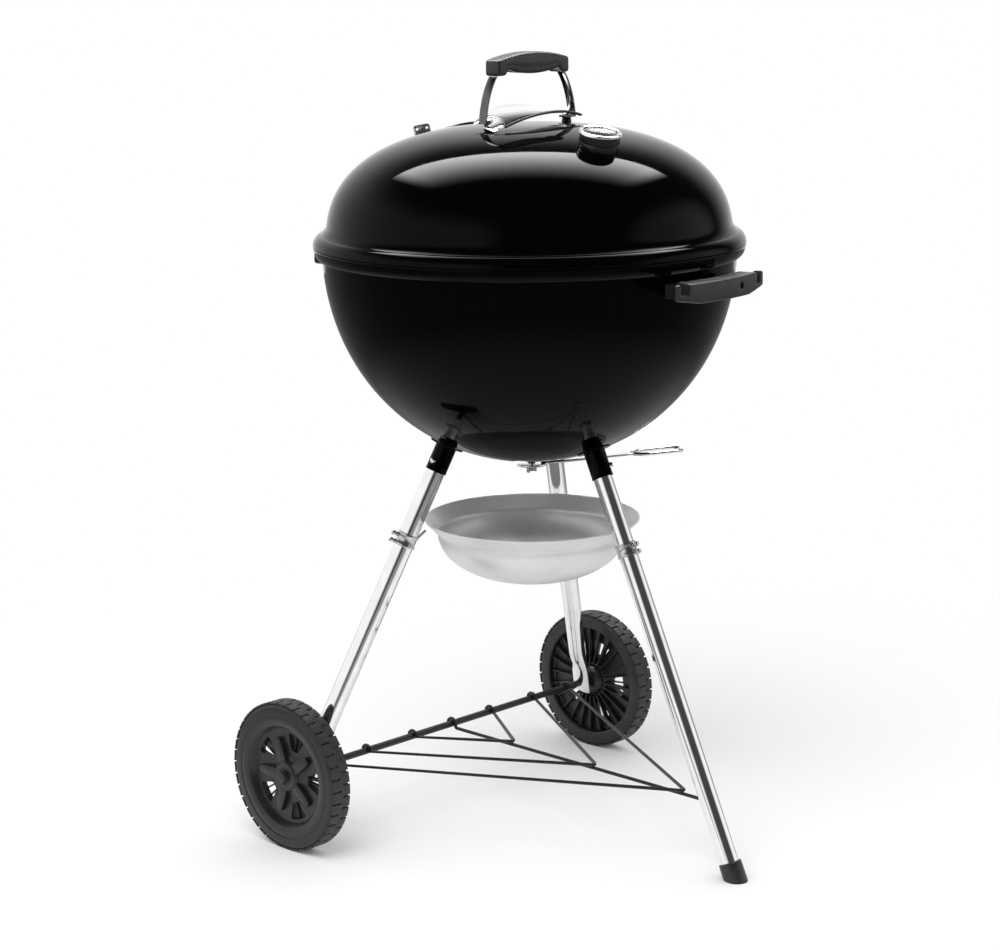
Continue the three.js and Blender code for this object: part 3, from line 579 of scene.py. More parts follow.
def lip_curve(wall, reach, rise, start, count):
    points = []
    for i in range(count + 1):
        angle = math.radians(start + (90 - start) * i / count)
        points.append((wall + reach * math.sin(angle), RIM_HEIGHT + rise * math.cos(angle)))
    return points


def rolled_shell(name, shell, sweep, wall, reach, rise, start, lift):
    """A pressed shell with a bead at its rim and a small rolled edge, spun in one piece."""
    edge = RIM_HEIGHT + lift
    roll = 1.1 * MM * shell["way"]
    outer = dome_curve(shell, 0, sweep, 44)
    outer += [point for point in lip_curve(wall, reach, rise, start, 12)
              if (point[1] - edge) * shell["way"] > abs(roll)]
    tip = wall + reach
    outer += [(tip, edge + roll), (tip - 0.3 * MM, edge + 0.35 * roll), (tip - 1.0 * MM, edge)]
    inner = dome_curve(shell, SHEET, sweep, 44)
    inner += [point for point in lip_curve(wall, reach - SHEET, rise - SHEET * shell["way"], start, 10)
              if (point[1] - edge) * shell["way"] > abs(roll)]
    inner += [(tip - SHEET, edge + 0.5 * roll)]
    return spun(name, [*outer, *reversed(inner)], 160)


def dome_lean():
    step = 0.5 * MM
    fall = dome_height(LID, FITTING_RADIUS - step) - dome_height(LID, FITTING_RADIUS + step)
    return math.atan(fall / (2 * step))


def lid_place(bearing, lean):
    """The frame of a fitting that stands on the lid and leans outward by an angle."""
    normal = bearing_vec(bearing) * math.sin(lean) + Vector((0, 0, math.cos(lean)))
    foot = bearing_vec(bearing) * FITTING_RADIUS
    foot.z = LID["base"] + dome_height(LID, FITTING_RADIUS)
    return KETTLE @ aim(foot, normal, bearing_vec(bearing))


VENT = {"disc": 0.039, "boss": 0.043, "top": 1.2 * MM, "hole": 8 * MM, "circle": 0.022}


def vent_drills(place):
    drills = []
    for i in range(4):
        at = bearing_vec(45 + 90 * i) * VENT["circle"]
        drill = rod(at - Vector((0, 0, 0.02)), at + Vector((0, 0, 0.02)), VENT["hole"], 32)
        drills.append(placed(drill, place))
    return drills


def make_lid():
    shell = rolled_shell("lid", LID, 84, 0.2718, 0.0145, 0.016, 12, GAP)
    placed(shell, KETTLE)
    place = lid_place(VENT_BEARING, dome_lean())
    carved(shell, vent_drills(place))
    top = VENT["top"]
    boss = spun("boss", closed([(3.2 * MM, top), (0.041, top), (0.0425, top - 0.5 * MM), (0.0435, -2 * MM),
                                (0.0415, -4 * MM), (3.2 * MM, -1.5 * MM)]), 64)
    placed(boss, place)
    carved(boss, vent_drills(place))
    finish_piece("lid", joined("lid", [shell, boss]), "lid", "enamel", ["lid_shell"], 40)


def make_vent():
    place = lid_place(VENT_BEARING, dome_lean())
    damper = from_frame("lid_vent_damper", 0.3 * MM)
    finish_piece("vent_damper", damper, "lid_damper", "steel", ["lid_vent_damper"])
    base = VENT["top"] + 2 * GAP + 1.6 * MM
    rivet = spun("rivet", [(0, -0.01), (2.8 * MM, -0.01), (2.8 * MM, base), (6 * MM, base),
                           (5.6 * MM, base + 1.1 * MM), (3.8 * MM, base + 1.8 * MM), (0, base + 2 * MM)], 32)
    finish_piece("vent_rivet", placed(rivet, place), "lid", "steel", ["lid_vent_rivet"])


def make_bowl():
    shell = placed(rolled_shell("bowl", BOWL, 85, 0.2746, 0.0113, -0.018, 0, 0), KETTLE)
    cutters = []
    for leg in LEGS.values():
        bearing = leg["bearing"] + 60
        slot = block((0.048, 0.022, 0.08), (0, 0, 0), 5 * MM)
        cutters.append(placed(slot, KETTLE @ turn_z(bearing) @ Matrix.Translation((0.06, 0, 0.52))))
    cutters.append(placed(rod((0, 0, 0.49), (0, 0, 0.53), 7 * MM, 32), KETTLE))
    carved(shell, cutters)
    finish_piece("bowl", shell, "stand", "enamel", ["bowl_shell"], 40)


def dome_filling(name, shell, inset, sweep, edge):
    """The room inside a shell, up to a height past its rim."""
    curve = dome_curve(shell, inset, sweep, 44)
    return placed(spun(name, [*curve, (shell["radius"] - inset, edge), (0, edge)], 96), KETTLE)


def bowl_filling(inset):
    return dome_filling("filling", BOWL, inset, 85, 0.81)


# ---- Lid handle ----

def quadratic(start, control, end, steps):
    start, control, end = (Vector(p) for p in (start, control, end))
    points = []
    for i in range(steps + 1):
        t = i / steps
        points.append(tuple(start * (1 - t) ** 2 + control * 2 * t * (1 - t) + end * t**2))
    return points


GRIP = {"half": 0.067, "width": 0.026, "top": 1.05, "shoulder": 1.041, "under": 1.021}


def belly_height(x):
    """The underside of the grip's ribbed belly."""
    share = (x / 0.043) ** 2
    return GRIP["under"] + 1.4 * MM + 5 * MM * share


def make_grip():
    half, under, shoulder = GRIP["half"], GRIP["under"], GRIP["shoulder"]
    belly = [(x * MM, belly_height(x * MM)) for x in range(-42, 43, 4)]
    top = quadratic((half, shoulder), (0, 2 * GRIP["top"] - shoulder), (-half, shoulder), 24)
    outline = [(-half, under), (-half + 0.015, under), (-0.048, under + 7 * MM), *belly,
               (0.048, under + 7 * MM), (half - 0.015, under), (half, under), *top]
    body = rounded(upright("grip", outline, GRIP["width"]), 4.5 * MM, 5, 50)
    ribs = []
    for i in range(-11, 12):
        x = i * 3.7 * MM
        size = (1.9 * MM, GRIP["width"] - 0.4 * MM, 8 * MM)
        ribs.append(block(size, (x, 0, belly_height(x) + 3.9 * MM), 0.5 * MM))
    panels = []
    for side in (-1, 1):
        hem = [(x * MM, belly_height(x * MM) + 8.5 * MM) for x in range(-42, 43, 6)]
        panel = [(-0.05, under + 13 * MM), *hem, (0.05, under + 13 * MM),
                 *quadratic((0.055, 1.0375), (0, 1.0525), (-0.055, 1.0375), 14)]
        plate = rounded(upright("panel", panel, 1.2 * MM), 0.4 * MM, 2, 50)
        panels.append(placed(plate, Matrix.Translation((0, side * (GRIP["width"] / 2 - 0.15 * MM), 0))))
    piece = placed(joined("grip", [body, *ribs, *panels]), KETTLE)
    finish_piece("lid_grip", piece, "lid", "nylon", ["lid_handle_grip"], 40)


SHIELD_EDGE = {"left": (-0.098, -0.034, 0.9555), "bend": (-0.008, -0.044, 0.99025),
               "right": (0.082, -0.022, 0.965)}
SHIELD_LEAN = 0.09
SHIELD_REFLECTION_STRIP_RADIUS = 1.9 * MM


def make_shield_painted_reflection():
    """A dark round strip along the near edge of the shield, short of its left tip: a painted dark reflection
    of the lid on the shield's bright edge.
    """
    left, bend, right = (Vector(SHIELD_EDGE[key]) for key in ("left", "bend", "right"))
    points = []
    for i in range(3, 30):
        t = i / 30
        point = left * (1 - t) ** 2 + bend * 2 * t * (1 - t) + right * t**2
        point.z += SHIELD_LEAN * point.y
        points.append(KETTLE @ point)
    # A black nylon strip with no frame node of its own, standing for a reflection: painted reflection.
    finish_piece("shield_painted_reflection", wire("lip", points, SHIELD_REFLECTION_STRIP_RADIUS), "lid", "nylon", [], 60)


def make_lid_handle():
    make_grip()
    make_shield_painted_reflection()
    shield = from_frame("lid_heat_shield", 0.4 * MM, 50)
    finish_piece("heat_shield", shield, "lid", "bright_steel", ["lid_heat_shield"])
    foot = LID["base"] + dome_height(LID, 0.074) + 6 * MM
    for name, side in (("left", -1), ("right", 1)):
        strap = from_frame(f"lid_handle_strap_{name}", 0.5 * MM, 50)
        node = f"lid_handle_strap_{name}"
        # The straps keep the bright steel slot but get the darkened strap steel, whose dark colour is painted
        # shade.
        finish_piece(f"handle_strap_{name}", strap, "lid", "bright_steel", [node], 30, "painted_shade_strap")
        at = KETTLE @ Matrix.Translation((side * 0.074, 0, foot))
        post = spun("post", [(0, -6.6 * MM), (6.5 * MM, -6.6 * MM), (6.5 * MM, -3.5 * MM),
                             (5.6 * MM, -2.2 * MM), (6.2 * MM, -1 * MM), (6.2 * MM, -GAP), (0, -GAP)], 40)
        bolt = spun("bolt", [(0, -1 * MM), (3 * MM, -1 * MM), (3 * MM, 3.1 * MM), (5.5 * MM, 3.1 * MM),
                             (5.4 * MM, 5 * MM), (3.8 * MM, 6.1 * MM), (0, 6.3 * MM)], 40)
        node = f"lid_handle_bolt_{name}"
        finish_piece(f"handle_post_{name}", placed(post, at), "lid", "nylon", [node])
        finish_piece(f"handle_bolt_{name}", placed(bolt, at), "lid", "steel", [node])
    finish_piece("hanging_hook", from_frame("lid_hook", 0.4 * MM), "lid", "steel", ["lid_hook"])


# ---- Thermometer ----

GAUGE = {"radius": 0.026, "height": 0.021, "bezel": 0.027, "glass": 0.0234, "lean": 0.227}


def make_thermometer():
    place = lid_place(GAUGE_BEARING, GAUGE["lean"])
    radius, top = GAUGE["radius"], GAUGE["height"]
    floor = top - 6 * MM
    seam = 7 * MM
    cup = spun("cup", closed([
        (4.2 * MM, -7 * MM), (radius - 0.9 * MM, -7 * MM), (radius - 0.9 * MM, seam - 0.5 * MM),
        (radius - 1.5 * MM, seam - 0.2 * MM),
        (radius - 1.5 * MM, seam + 0.2 * MM), (radius - 0.1 * MM, seam + 0.5 * MM), (radius, seam + 1.2 * MM),
        (radius, top - 4.4 * MM), (radius - 0.4 * MM, top - 4 * MM), (radius - 2 * MM, top - 4 * MM),
        (radius - 2 * MM, floor), (4.2 * MM, floor)]), 96)
    carved(placed(cup, place), [dome_filling("filling", LID, -GAP, 84, LID["base"])])
    rounded(cup, 0.4 * MM, 2, 50)
    finish_piece("gauge_case", cup, "lid", "enamel", ["thermometer_case"], 30, "gauge_plastic")
    outer, glass = GAUGE["bezel"], GAUGE["glass"]
    bezel = spun("bezel", closed([
        (outer, top - 3.6 * MM), (outer, top - 1.2 * MM), (outer - 0.3 * MM, top - 0.4 * MM),
        (outer - 0.9 * MM, top), (outer - 1.6 * MM, top - 0.2 * MM), (outer - 2.1 * MM, top - 0.7 * MM),
        (outer - 2.7 * MM, top - 0.5 * MM), (glass - 0.7 * MM, top - 0.1 * MM),
        (glass - 1.4 * MM, top - 0.4 * MM), (glass - 1.4 * MM, top - 0.9 * MM),
        (glass + 0.4 * MM, top - 0.9 * MM), (glass + 0.4 * MM, top - 3.6 * MM)]), 96)
    finish_piece("gauge_bezel", placed(bezel, place), "lid", "bright_steel", ["thermometer_bezel"], 50)
    pane = rod((0, 0, top - 2.4 * MM), (0, 0, top - 1.3 * MM), glass, 96, 0.2 * MM)
    finish_piece("gauge_glass", placed(pane, place), "lid", "glass", ["thermometer_glass"])
    face = rod((0, 0, floor + GAP), (0, 0, floor + 1.2 * MM), glass, 96, 0.2 * MM)
    finish_piece("gauge_dial", placed(face, place), "lid", "dial", ["thermometer_dial"])
    marks = []
    for i in range(31):
        long = 3.4 * MM if i % 5 == 0 else 1.8 * MM
        wide = 0.8 * MM if i % 5 == 0 else 0.5 * MM
        tick = block((long, wide, 0.14 * MM), (20.5 * MM - long / 2, 0, floor + 1.25 * MM))
        marks.append(placed(tick, turn_z(9 * i - 45 - 180)))
    finish_piece("gauge_marks", placed(joined("marks", marks), place), "lid", "dial", [], 30, "dial_ink")
    hub = spun("hub", [(0, floor + 1.6 * MM), (2.4 * MM, floor + 1.6 * MM), (2.2 * MM, floor + 2.4 * MM),
                       (1.2 * MM, floor + 2.6 * MM), (0, floor + 2.6 * MM)], 32)
    hand = extruded("hand", [(-2.5 * MM, -0.8 * MM), (15.5 * MM, -0.3 * MM), (15.5 * MM, 0.3 * MM),
                             (-2.5 * MM, 0.8 * MM)], 0.5 * MM)
    placed(hand, Matrix.Translation((0, 0, floor + 1.75 * MM)))
    finish_piece("gauge_pointer", placed(joined("pointer", [hub, hand]), place), "gauge_pointer", "pointer",
                 ["thermometer_pointer"])
    stem = rod((0, 0, -0.04), (0, 0, floor - 0.2 * MM), 3.85 * MM, 32, 0.8 * MM)
    finish_piece("gauge_stem", placed(stem, place), "lid", "steel", ["thermometer_stem"])
    finish_piece("gauge_nut", from_frame("thermometer_nut", 0.4 * MM), "lid", "steel", ["thermometer_nut"])


# ---- Bowl handles ----

BAR = {"inner": 0.299, "outer": 0.326, "bottom": 0.752, "top": 0.778, "half": 16.5,
       "taper_start": 0.051, "taper": 9}


def bowl_handle(bearing):
    """A curved bar on two stubs, notched near each end for tools, with an eye and a raised plain frame."""
    height = BAR["top"] - BAR["bottom"]
    steps = [BAR["half"] * (2 * i / 24 - 1) for i in range(25)]
    outline = [tuple((bearing_vec(a) * BAR["outer"]).xy) for a in steps]
    outline += [tuple((bearing_vec(0.76 * a) * BAR["inner"]).xy) for a in reversed(steps)]
    bar = placed(extruded("bar", outline, height), Matrix.Translation((0, 0, BAR["bottom"])))
    wedges = []
    for side in (-1, 1):
        wedge = block((0.08, 0.06, 0.012), (0, side * 0.03, -0.006))
        tilt = Matrix.Rotation(math.radians(side * BAR["taper"]), 4, "X")
        at = Matrix.Translation((BAR["inner"], side * BAR["taper_start"], BAR["bottom"]))
        wedges.append(placed(wedge, at @ tilt))
    carved(bar, wedges)
    bar = rounded(bar, 3 * MM, 4, 50)
    stubs = []
    for side in (-1, 1):
        at = (0.291, 0, BAR["bottom"] + height / 2 - 1 * MM)
        stub = block((0.032, 0.02, height - 8 * MM), at, 2.5 * MM)
        stubs.append(placed(stub, turn_z(side * 10)))
    carved(bar, stubs, "UNION")
    cutters = []
    for side in (-1, 1):
        notch = block((0.06, 0.014, 0.03), (BAR["inner"] + 0.025, 0, BAR["top"] + 0.5 * MM), 1 * MM)
        cutters.append(placed(notch, turn_z(side * (BAR["half"] - 2.9))))
    outer = BAR["outer"]
    cutters.append(rod((outer - 9 * MM, 0.03, 0.766), (outer + 9 * MM, 0.03, 0.766), 4.4 * MM, 32))
    carved(bar, cutters)
    carved(bar, [placed(bowl_filling(-GAP), (KETTLE @ turn_z(bearing)).inverted())])
    rounded(bar, 0.6 * MM, 2, 50)
    frames = []
    for rise in (-6.2, 6.2):
        frames.append(block((1.2 * MM, 0.028, 0.9 * MM), (outer - 0.5 * MM, 0, 0.765 + rise * MM), 0.2 * MM))
    for side in (-1, 1):
        frames.append(block((1.2 * MM, 0.9 * MM, 0.0133), (outer - 0.7 * MM, side * 0.0138, 0.765), 0.2 * MM))
    for piece in frames:
        placed(piece, turn_z(-3.6))
    return placed(joined("handle", [bar, *frames]), KETTLE @ turn_z(bearing))


def make_bowl_handles():
    for name, turn in (("front", 0), ("back", 180)):
        piece = bowl_handle(HANDLE_BEARING + turn)
        finish_piece(f"side_handle_{name}", piece, "stand", "nylon", [f"bowl_handle_{name}"], 40)


# ---- Legs ----

def leg_point(leg, height):
    reach = leg["line"]["root"] + (LEG_BREAK - height) * leg["line"]["slope"]
    return KETTLE @ (bearing_vec(leg["bearing"]) * reach + Vector((0, 0, height)))


def leg_place(leg, height):
    """Z runs up the leg and X points outwards, square to it."""
    along = leg_point(leg, 0.3) - leg_point(leg, 0.2)
    return aim(leg_point(leg, height), along, bearing_vec(leg["bearing"]))


def tube(name, leg, bottom, top):
    length = (leg_point(leg, top) - leg_point(leg, bottom)).length
    bore = TUBE_RADIUS - TUBE_WALL
    edge = 0.4 * MM
    flat = 0.085 if name != "front" else 0
    rings = [flat * i / 8 for i in range(1, 9)] if flat else [0.02]
    outer = [(TUBE_RADIUS - edge, 0), (TUBE_RADIUS, edge), *[(TUBE_RADIUS, z) for z in rings],
             (TUBE_RADIUS, length - edge), (TUBE_RADIUS - edge, length)]
    inner = [(bore, length), *[(bore, z) for z in reversed(rings)], (bore, 0)]
    return spun(f"tube_{name}", closed([*outer, *inner]), 56)


def press_end(piece, leg):
    """Flattens a wheeled leg's lower end across the axle, ring by ring."""
    hint = leg_place(leg, 0.09).inverted().to_3x3() @ Vector((1, 0, 0))
    across = turn_z(math.degrees(math.atan2(hint.y, hint.x)))
    placed(piece, across.inverted())
    axle = (leg_point(leg, WHEEL_RADIUS) - leg_point(leg, 0.09)).length
    use(piece)
    for vertex in piece.data.vertices:
        t = min(max((axle + 0.062 - vertex.co.z) / 0.042, 0), 1)
        press = t * t * (3 - 2 * t)
        vertex.co.x *= 1 - 0.62 * press
        vertex.co.y *= 1 + 0.3 * press
    return placed(piece, across)


def make_legs():
    for name, leg in LEGS.items():
        wheeled = name != "front"
        bottom = 0.09 if wheeled else 0.012
        piece = tube(name, leg, bottom, 0.525)
        if wheeled:
            press_end(piece, leg)
        placed(piece, leg_place(leg, bottom))
        drills = [rod(*button_line(leg, 0, 0.025), 4.15 * MM, 24)]
        if wheeled:
            drills.append(rod(*axle_line(-0.4, 0.4), 5.1 * MM, 32))
        else:
            low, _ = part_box("rack_spine")
            height = spine_height()
            drills.append(rod((0, low.y + 0.03, height), (0, low.y - 2 * MM, height), 2.75 * MM, 20))
        carved(piece, drills)
        finish_piece(f"leg_tube_{name}", piece, "stand", "bright_steel", [f"leg_{name}"], 40)
        make_socket(name, leg)
        make_button(name, leg)
        make_clip(name, leg)
    make_foot_cap()


def button_line(leg, start, end):
    along = (leg_point(leg, 0) - leg_point(leg, 0.1)).normalized()
    outward = bearing_vec(leg["bearing"] + 35)
    outward = (outward - along * outward.dot(along)).normalized()
    seat = leg_point(leg, 0.5115)
    return seat + outward * start, seat + outward * end


def make_socket(name, leg):
    bore, wall = 13.05 * MM, 14.6 * MM
    length = (leg_point(leg, 0.548) - leg_point(leg, 0.5)).length
    base = leg_place(leg, 0.5)
    sleeve = spun("sleeve", closed([
        (bore, 0.3 * MM), (bore + 0.4 * MM, 0), (wall - 0.5 * MM, 0), (wall, 0.5 * MM), (wall, 1.6 * MM),
        (wall - 0.35 * MM, 2.2 * MM), (wall - 0.35 * MM, length - 0.016), (wall, length - 0.014),
        (wall, length), (bore, length)]), 64)
    placed(sleeve, base)
    flange = rounded(rod(leg_point(leg, 0.5334), leg_point(leg, 0.544), 0.023, 64), 1.6 * MM, 3, 50)
    drills = [rod(leg_point(leg, 0.495), leg_point(leg, 0.557), bore, 64)]
    carved(flange, drills)
    hole = rod(*button_line(leg, 0, 0.025), 4.15 * MM, 24)
    carved(sleeve, [hole, bowl_filling(-GAP)])
    carved(flange, [bowl_filling(-GAP)])
    piece = joined("socket", [sleeve, flange])
    finish_piece(f"leg_socket_{name}", piece, "stand", "enamel", [f"socket_{name}"], 35)


def make_button(name, leg):
    start, end = button_line(leg, 8 * MM, 18.4 * MM)
    length = (end - start).length
    pin = spun("button", [(0, 0), (3.8 * MM, 0), (3.8 * MM, length - 2.4 * MM), (3.4 * MM, length - 1.1 * MM),
                          (2.2 * MM, length - 0.2 * MM), (0, length)], 32)
    placed(pin, aim(start, end - start, (0, 0, 1)))
    finish_piece(f"snap_button_{name}", pin, f"button_{name}", "bright_steel", [f"leg_button_{name}"], 50)


def make_clip(name, leg):
    """A band round the leg with two beads, two knobbed screws outside and a sprung wire inside."""
    bore = TUBE_RADIUS + GAP
    bead = 14.4 * MM
    half = 9 * MM
    profile = [(bore, -half), (bead - 0.3 * MM, -half), (bead, -half + 1 * MM), (bead, -half + 3.6 * MM),
               (bead - 0.8 * MM, -half + 4.6 * MM), (bead - 0.8 * MM, half - 4.6 * MM),
               (bead, half - 3.6 * MM),
               (bead, half - 1 * MM), (bead - 0.3 * MM, half), (bore, half)]
    parts = [placed(spun("band", closed(profile), 56), leg_place(leg, 0.409))]
    for rise in (-6, 3):
        knob = spun("knob", [(0, 13.8 * MM), (3 * MM, 13.8 * MM), (3 * MM, 16 * MM), (2 * MM, 16.6 * MM),
                             (2 * MM, 18 * MM), (3.2 * MM, 18.6 * MM), (3.2 * MM, 22 * MM),
                             (2.2 * MM, 23 * MM),
                             (0, 23 * MM)], 28)
        place = leg_place(leg, 0.409 + rise * MM) @ Matrix.Rotation(math.pi / 2, 4, "Y")
        parts.append(placed(knob, place))
    out = bearing_vec(leg["bearing"])
    root = leg_point(leg, 0.409) - out * bead
    tip = KETTLE @ (out * 0.1483 + Vector((0, 0, 0.42)))
    spring = wire("spring", rounded_path([root, (root + tip) / 2, tip], 2 * MM), 1.9 * MM)
    carved(spring, [rod(leg_point(leg, 0.39), leg_point(leg, 0.43), bore, 56)])
    piece = joined("clip", [*parts, spring])
    finish_piece(f"pan_clip_{name}", piece, "stand", "steel", [f"ash_clip_{name}"], 40)


def make_foot_cap():
    leg = LEGS["front"]
    wall = TUBE_RADIUS + 2.4 * MM
    bore = TUBE_RADIUS + GAP
    length = (leg_point(leg, 0.022) - leg_point(leg, -0.03)).length
    seat = (leg_point(leg, 0.0117) - leg_point(leg, -0.03)).length
    boot = spun("boot", [(0, 0), (wall, 0), (wall, length - 3 * MM), (wall - 0.5 * MM, length - 2.4 * MM),
                         (wall - 0.2 * MM, length - 1.8 * MM), (wall - 0.2 * MM, length - 0.5 * MM),
                         (wall - 0.7 * MM, length), (bore, length), (bore, seat), (0, seat)], 64)
    placed(boot, leg_place(leg, -0.03))
    foot = leg_point(leg, 0)
    carved(boot, [block((0.12, 0.12, 0.1), (foot.x, foot.y, -0.05))])
    rounded(boot, 0.7 * MM, 3, 50)
    finish_piece("foot_boot", boot, "stand", "nylon", ["foot_cap"], 35)


# ---- Axle, wheels and wire rack ----

def axle_line(start, end):
    centre = middle("axle")
    return Vector((start, centre.y, centre.z)), Vector((end, centre.y, centre.z))


def spine_height():
    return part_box("rack_spine")[0].z + WIRE


WIRE = 2.4 * MM
AXLE_RADIUS = 4.75 * MM
WHEEL = {"inner": 0.288, "outer": 0.318, "hub": 0.017, "web": 0.299, "face": 0.315}


def tyre_profile():
    """The tyre, the dished rim and the web, as (radius, distance from the middle) points."""
    inner, outer = WHEEL["inner"], WHEEL["outer"]
    tread = WHEEL_RADIUS - 1.9 * MM
    bore = AXLE_RADIUS + GAP
    shoulder = [(tread - 6 * MM, inner), (tread - 2.6 * MM, inner + 0.8 * MM),
                (tread - 0.5 * MM, inner + 2.8 * MM),
                (tread, inner + 5 * MM)]
    far = [(radius, inner + outer - height) for radius, height in reversed(shoulder)]
    return closed([
        (bore, 0.2865), (0.012, 0.2865), (0.0165, 0.288), (0.0205, 0.292), (0.023, 0.2975),
        (0.026, WHEEL["web"]),
        (0.0775, WHEEL["web"]), (0.0795, 0.2975), (0.0805, inner + 1.5 * MM), (0.0825, inner), *shoulder,
        *far, (0.0862, outer), (0.0852, outer - 0.9 * MM), (0.0842, outer - 0.4 * MM),
        (0.079, outer - 0.2 * MM),
        (0.0715, outer - 0.6 * MM), (0.0697, outer - 1.8 * MM), (0.0668, outer - 7 * MM),
        (0.0645, outer - 9.5 * MM),
        (0.03, 0.3065), (0.0225, 0.309), (0.0205, 0.3135),
        (0.0185, WHEEL["face"]), (0.012, WHEEL["face"]), (0.0105, WHEEL["face"] - 1.2 * MM),
        (bore, WHEEL["face"] - 1.2 * MM)])


def wheel_windows():
    """Five wide windows between the spokes."""
    cutters = []
    for i in range(5):
        spread = [(-1 + 2 * j / 8) for j in range(9)]
        outline = [tuple((bearing_vec(15 * s) * 0.0605).xy) for s in spread]
        outline += [tuple((bearing_vec(9 * s) * 0.037).xy) for s in reversed(spread[::2])]
        window = rounded(extruded("window", outline, 0.06), 3 * MM, 3, 60)
        cutters.append(placed(window, turn_z(36 + 72 * i) @ Matrix.Translation((0, 0, 0.27))))
    return cutters


def tread_blocks():
    """Two staggered rows of blocks round the tyre."""
    count = 38
    pitch = math.tau * WHEEL_RADIUS / count
    model = block((2.6 * MM, pitch - 2.4 * MM, 12.6 * MM), (WHEEL_RADIUS - 1.35 * MM, 0, 0), 0.5 * MM)
    rib = block((1.9 * MM, pitch + 0.5 * MM, 3.4 * MM), (WHEEL_RADIUS - 1.1 * MM, 0, 0.303), 0)
    blocks = []
    for i in range(count):
        for row, height in enumerate((0.2953, 0.3107)):
            turn = 360 * (i + 0.5 * row) / count
            blocks.append(copied(model, turn_z(turn) @ Matrix.Translation((0, 0, height))))
        blocks.append(copied(rib, turn_z(360 * i / count)))
    bpy.data.objects.remove(model)
    bpy.data.objects.remove(rib)
    return joined("tread", blocks)


def spoke_bars():
    """Raised bars on the outer face that run from the hub along each spoke, and fins in the windows."""
    parts = []
    for i in range(5):
        outline = [(0.006, -8 * MM), (0.042, -6.5 * MM), (0.053, -4.5 * MM),
                   (0.053, 4.5 * MM), (0.042, 6.5 * MM), (0.006, 8 * MM)]
        bar = rounded(extruded("bar", outline, 9 * MM), 1.2 * MM, 2, 40)
        parts.append(placed(bar, turn_z(72 * i) @ Matrix.Translation((0, 0, 0.3045))))
        for side in (-1, 1):
            wall = block((0.029, 1.6 * MM, 8 * MM), (0.0475, 0, 0.3035), 0.4 * MM)
            aside = Matrix.Translation((0, side * 13 * MM, 0)) @ turn_z(side * 3)
            parts.append(placed(wall, turn_z(72 * i) @ aside))
        for offset in (-5, 5):
            fin = block((0.03, 1.3 * MM, 6 * MM), (0.0472, 0, 0.3), 0.3 * MM)
            parts.append(placed(fin, turn_z(36 + 72 * i + offset)))
    hub = spun("hub_face", [(0, 0.3145), (0.0095, 0.3145), (0.0115, 0.313), (0.0125, 0.3105),
                            (0.0125, 0.306), (0, 0.306)], 48)
    bore = rod((0, 0, 0.28), (0, 0, 0.33), 8.6 * MM, 32)
    carved(hub, [bore])
    return [*parts, hub]


def inner_ribs():
    """Thin radial ribs on the inner face."""
    rib = block((0.053, 1.4 * MM, 8 * MM), (0.0525, 0, 0.2955), 0.3 * MM)
    ribs = [copied(rib, turn_z(15 * i)) for i in range(24)]
    bpy.data.objects.remove(rib)
    return ribs


def make_wheels():
    body = carved(spun("tyre", tyre_profile(), 128), wheel_windows())
    ribs = joined("ribs", inner_ribs())
    wheel = joined("wheel", [body, ribs, *spoke_bars()])
    tread = tread_blocks()
    centre = middle("axle")
    for name, side in (("left", -1), ("right", 1)):
        place = Matrix(((0, 0, side), (1, 0, 0), (0, side, 0))).to_4x4()
        place.translation = (0, centre.y, centre.z)
        node = f"wheel_{name}"
        finish_piece(f"wheel_body_{name}", copied(wheel, place), node, "wheel_plastic", [node], 35)
        rim = copied(tread, place)
        finish_piece(f"wheel_tread_{name}", rim, node, "wheel_plastic", [node], 35, "tread_plastic")
        cap = spun("cap", closed([(4.9 * MM, 0.3154), (8 * MM, 0.3154), (8 * MM, 0.3195), (7.2 * MM, 0.3215),
                                  (5.5 * MM, 0.3222), (4.9 * MM, 0.3222)]), 40)
        lid = spun("cap_face", [(0, 0.3193), (5.2 * MM, 0.3193), (5.2 * MM, 0.3219),
                                (3.5 * MM, 0.3225), (0, 0.3225)], 40)
        piece = placed(joined("cap", [cap, lid]), place)
        finish_piece(f"axle_end_{name}", piece, "stand", "nylon", [f"axle_cap_{name}"], 40)
    bpy.data.objects.remove(wheel)
    bpy.data.objects.remove(tread)
    axle = rod(*axle_line(-0.3185, 0.3185), AXLE_RADIUS, 40, 0.8 * MM)
    finish_piece("wheel_axle", axle, "stand", "black_wire", ["axle"])


RACK = {"inner": (0.077, 0.04), "middle": (0.165, -0.113), "outer": (0.238, -0.27)}


def hook_points(x):
    """Half a turn over the axle, from its far side to where the wire leaves it."""
    start, _ = axle_line(x, x)
    reach = AXLE_RADIUS + WIRE + GAP
    return [start + Vector((0, reach * math.cos(math.radians(a)), reach * math.sin(math.radians(a))))
            for a in range(-30, 181, 15)]


def make_rack():
    for name, (x, apex) in RACK.items():
        left, right = hook_points(-x), hook_points(x)
        tip = KETTLE @ Vector((0, apex - 2 * MM, left[-1].z))
        straight = rounded_path([left[-1], tip, right[-1]], 9 * MM, 10)
        path = [*left, *straight[1:-1], *reversed(right)]
        piece = wire(f"rack_wire_{name}", path, WIRE)
        halves = [f"rack_{name}_left", f"rack_{name}_right"]
        finish_piece(f"rack_wire_{name}", piece, "stand", "black_wire", halves, 60)
    low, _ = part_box("rack_spine")
    hook = hook_points(0)
    drop = hook[-1].copy()
    drop.z = spine_height()
    path = [*hook, *rounded_path([hook[-1], drop, Vector((0, low.y, spine_height()))], 3.5 * MM)[1:]]
    finish_piece("rack_wire_spine", wire("spine", path, WIRE), "stand", "black_wire", ["rack_spine"], 60)


# ---- Ash pan and sweeper ----

PAN = {"rim": 0.1456, "rim_height": 0.4286, "neck": 0.128, "neck_height": 0.4086,
       "depth": 0.0666, "wall": 1.4 * MM}


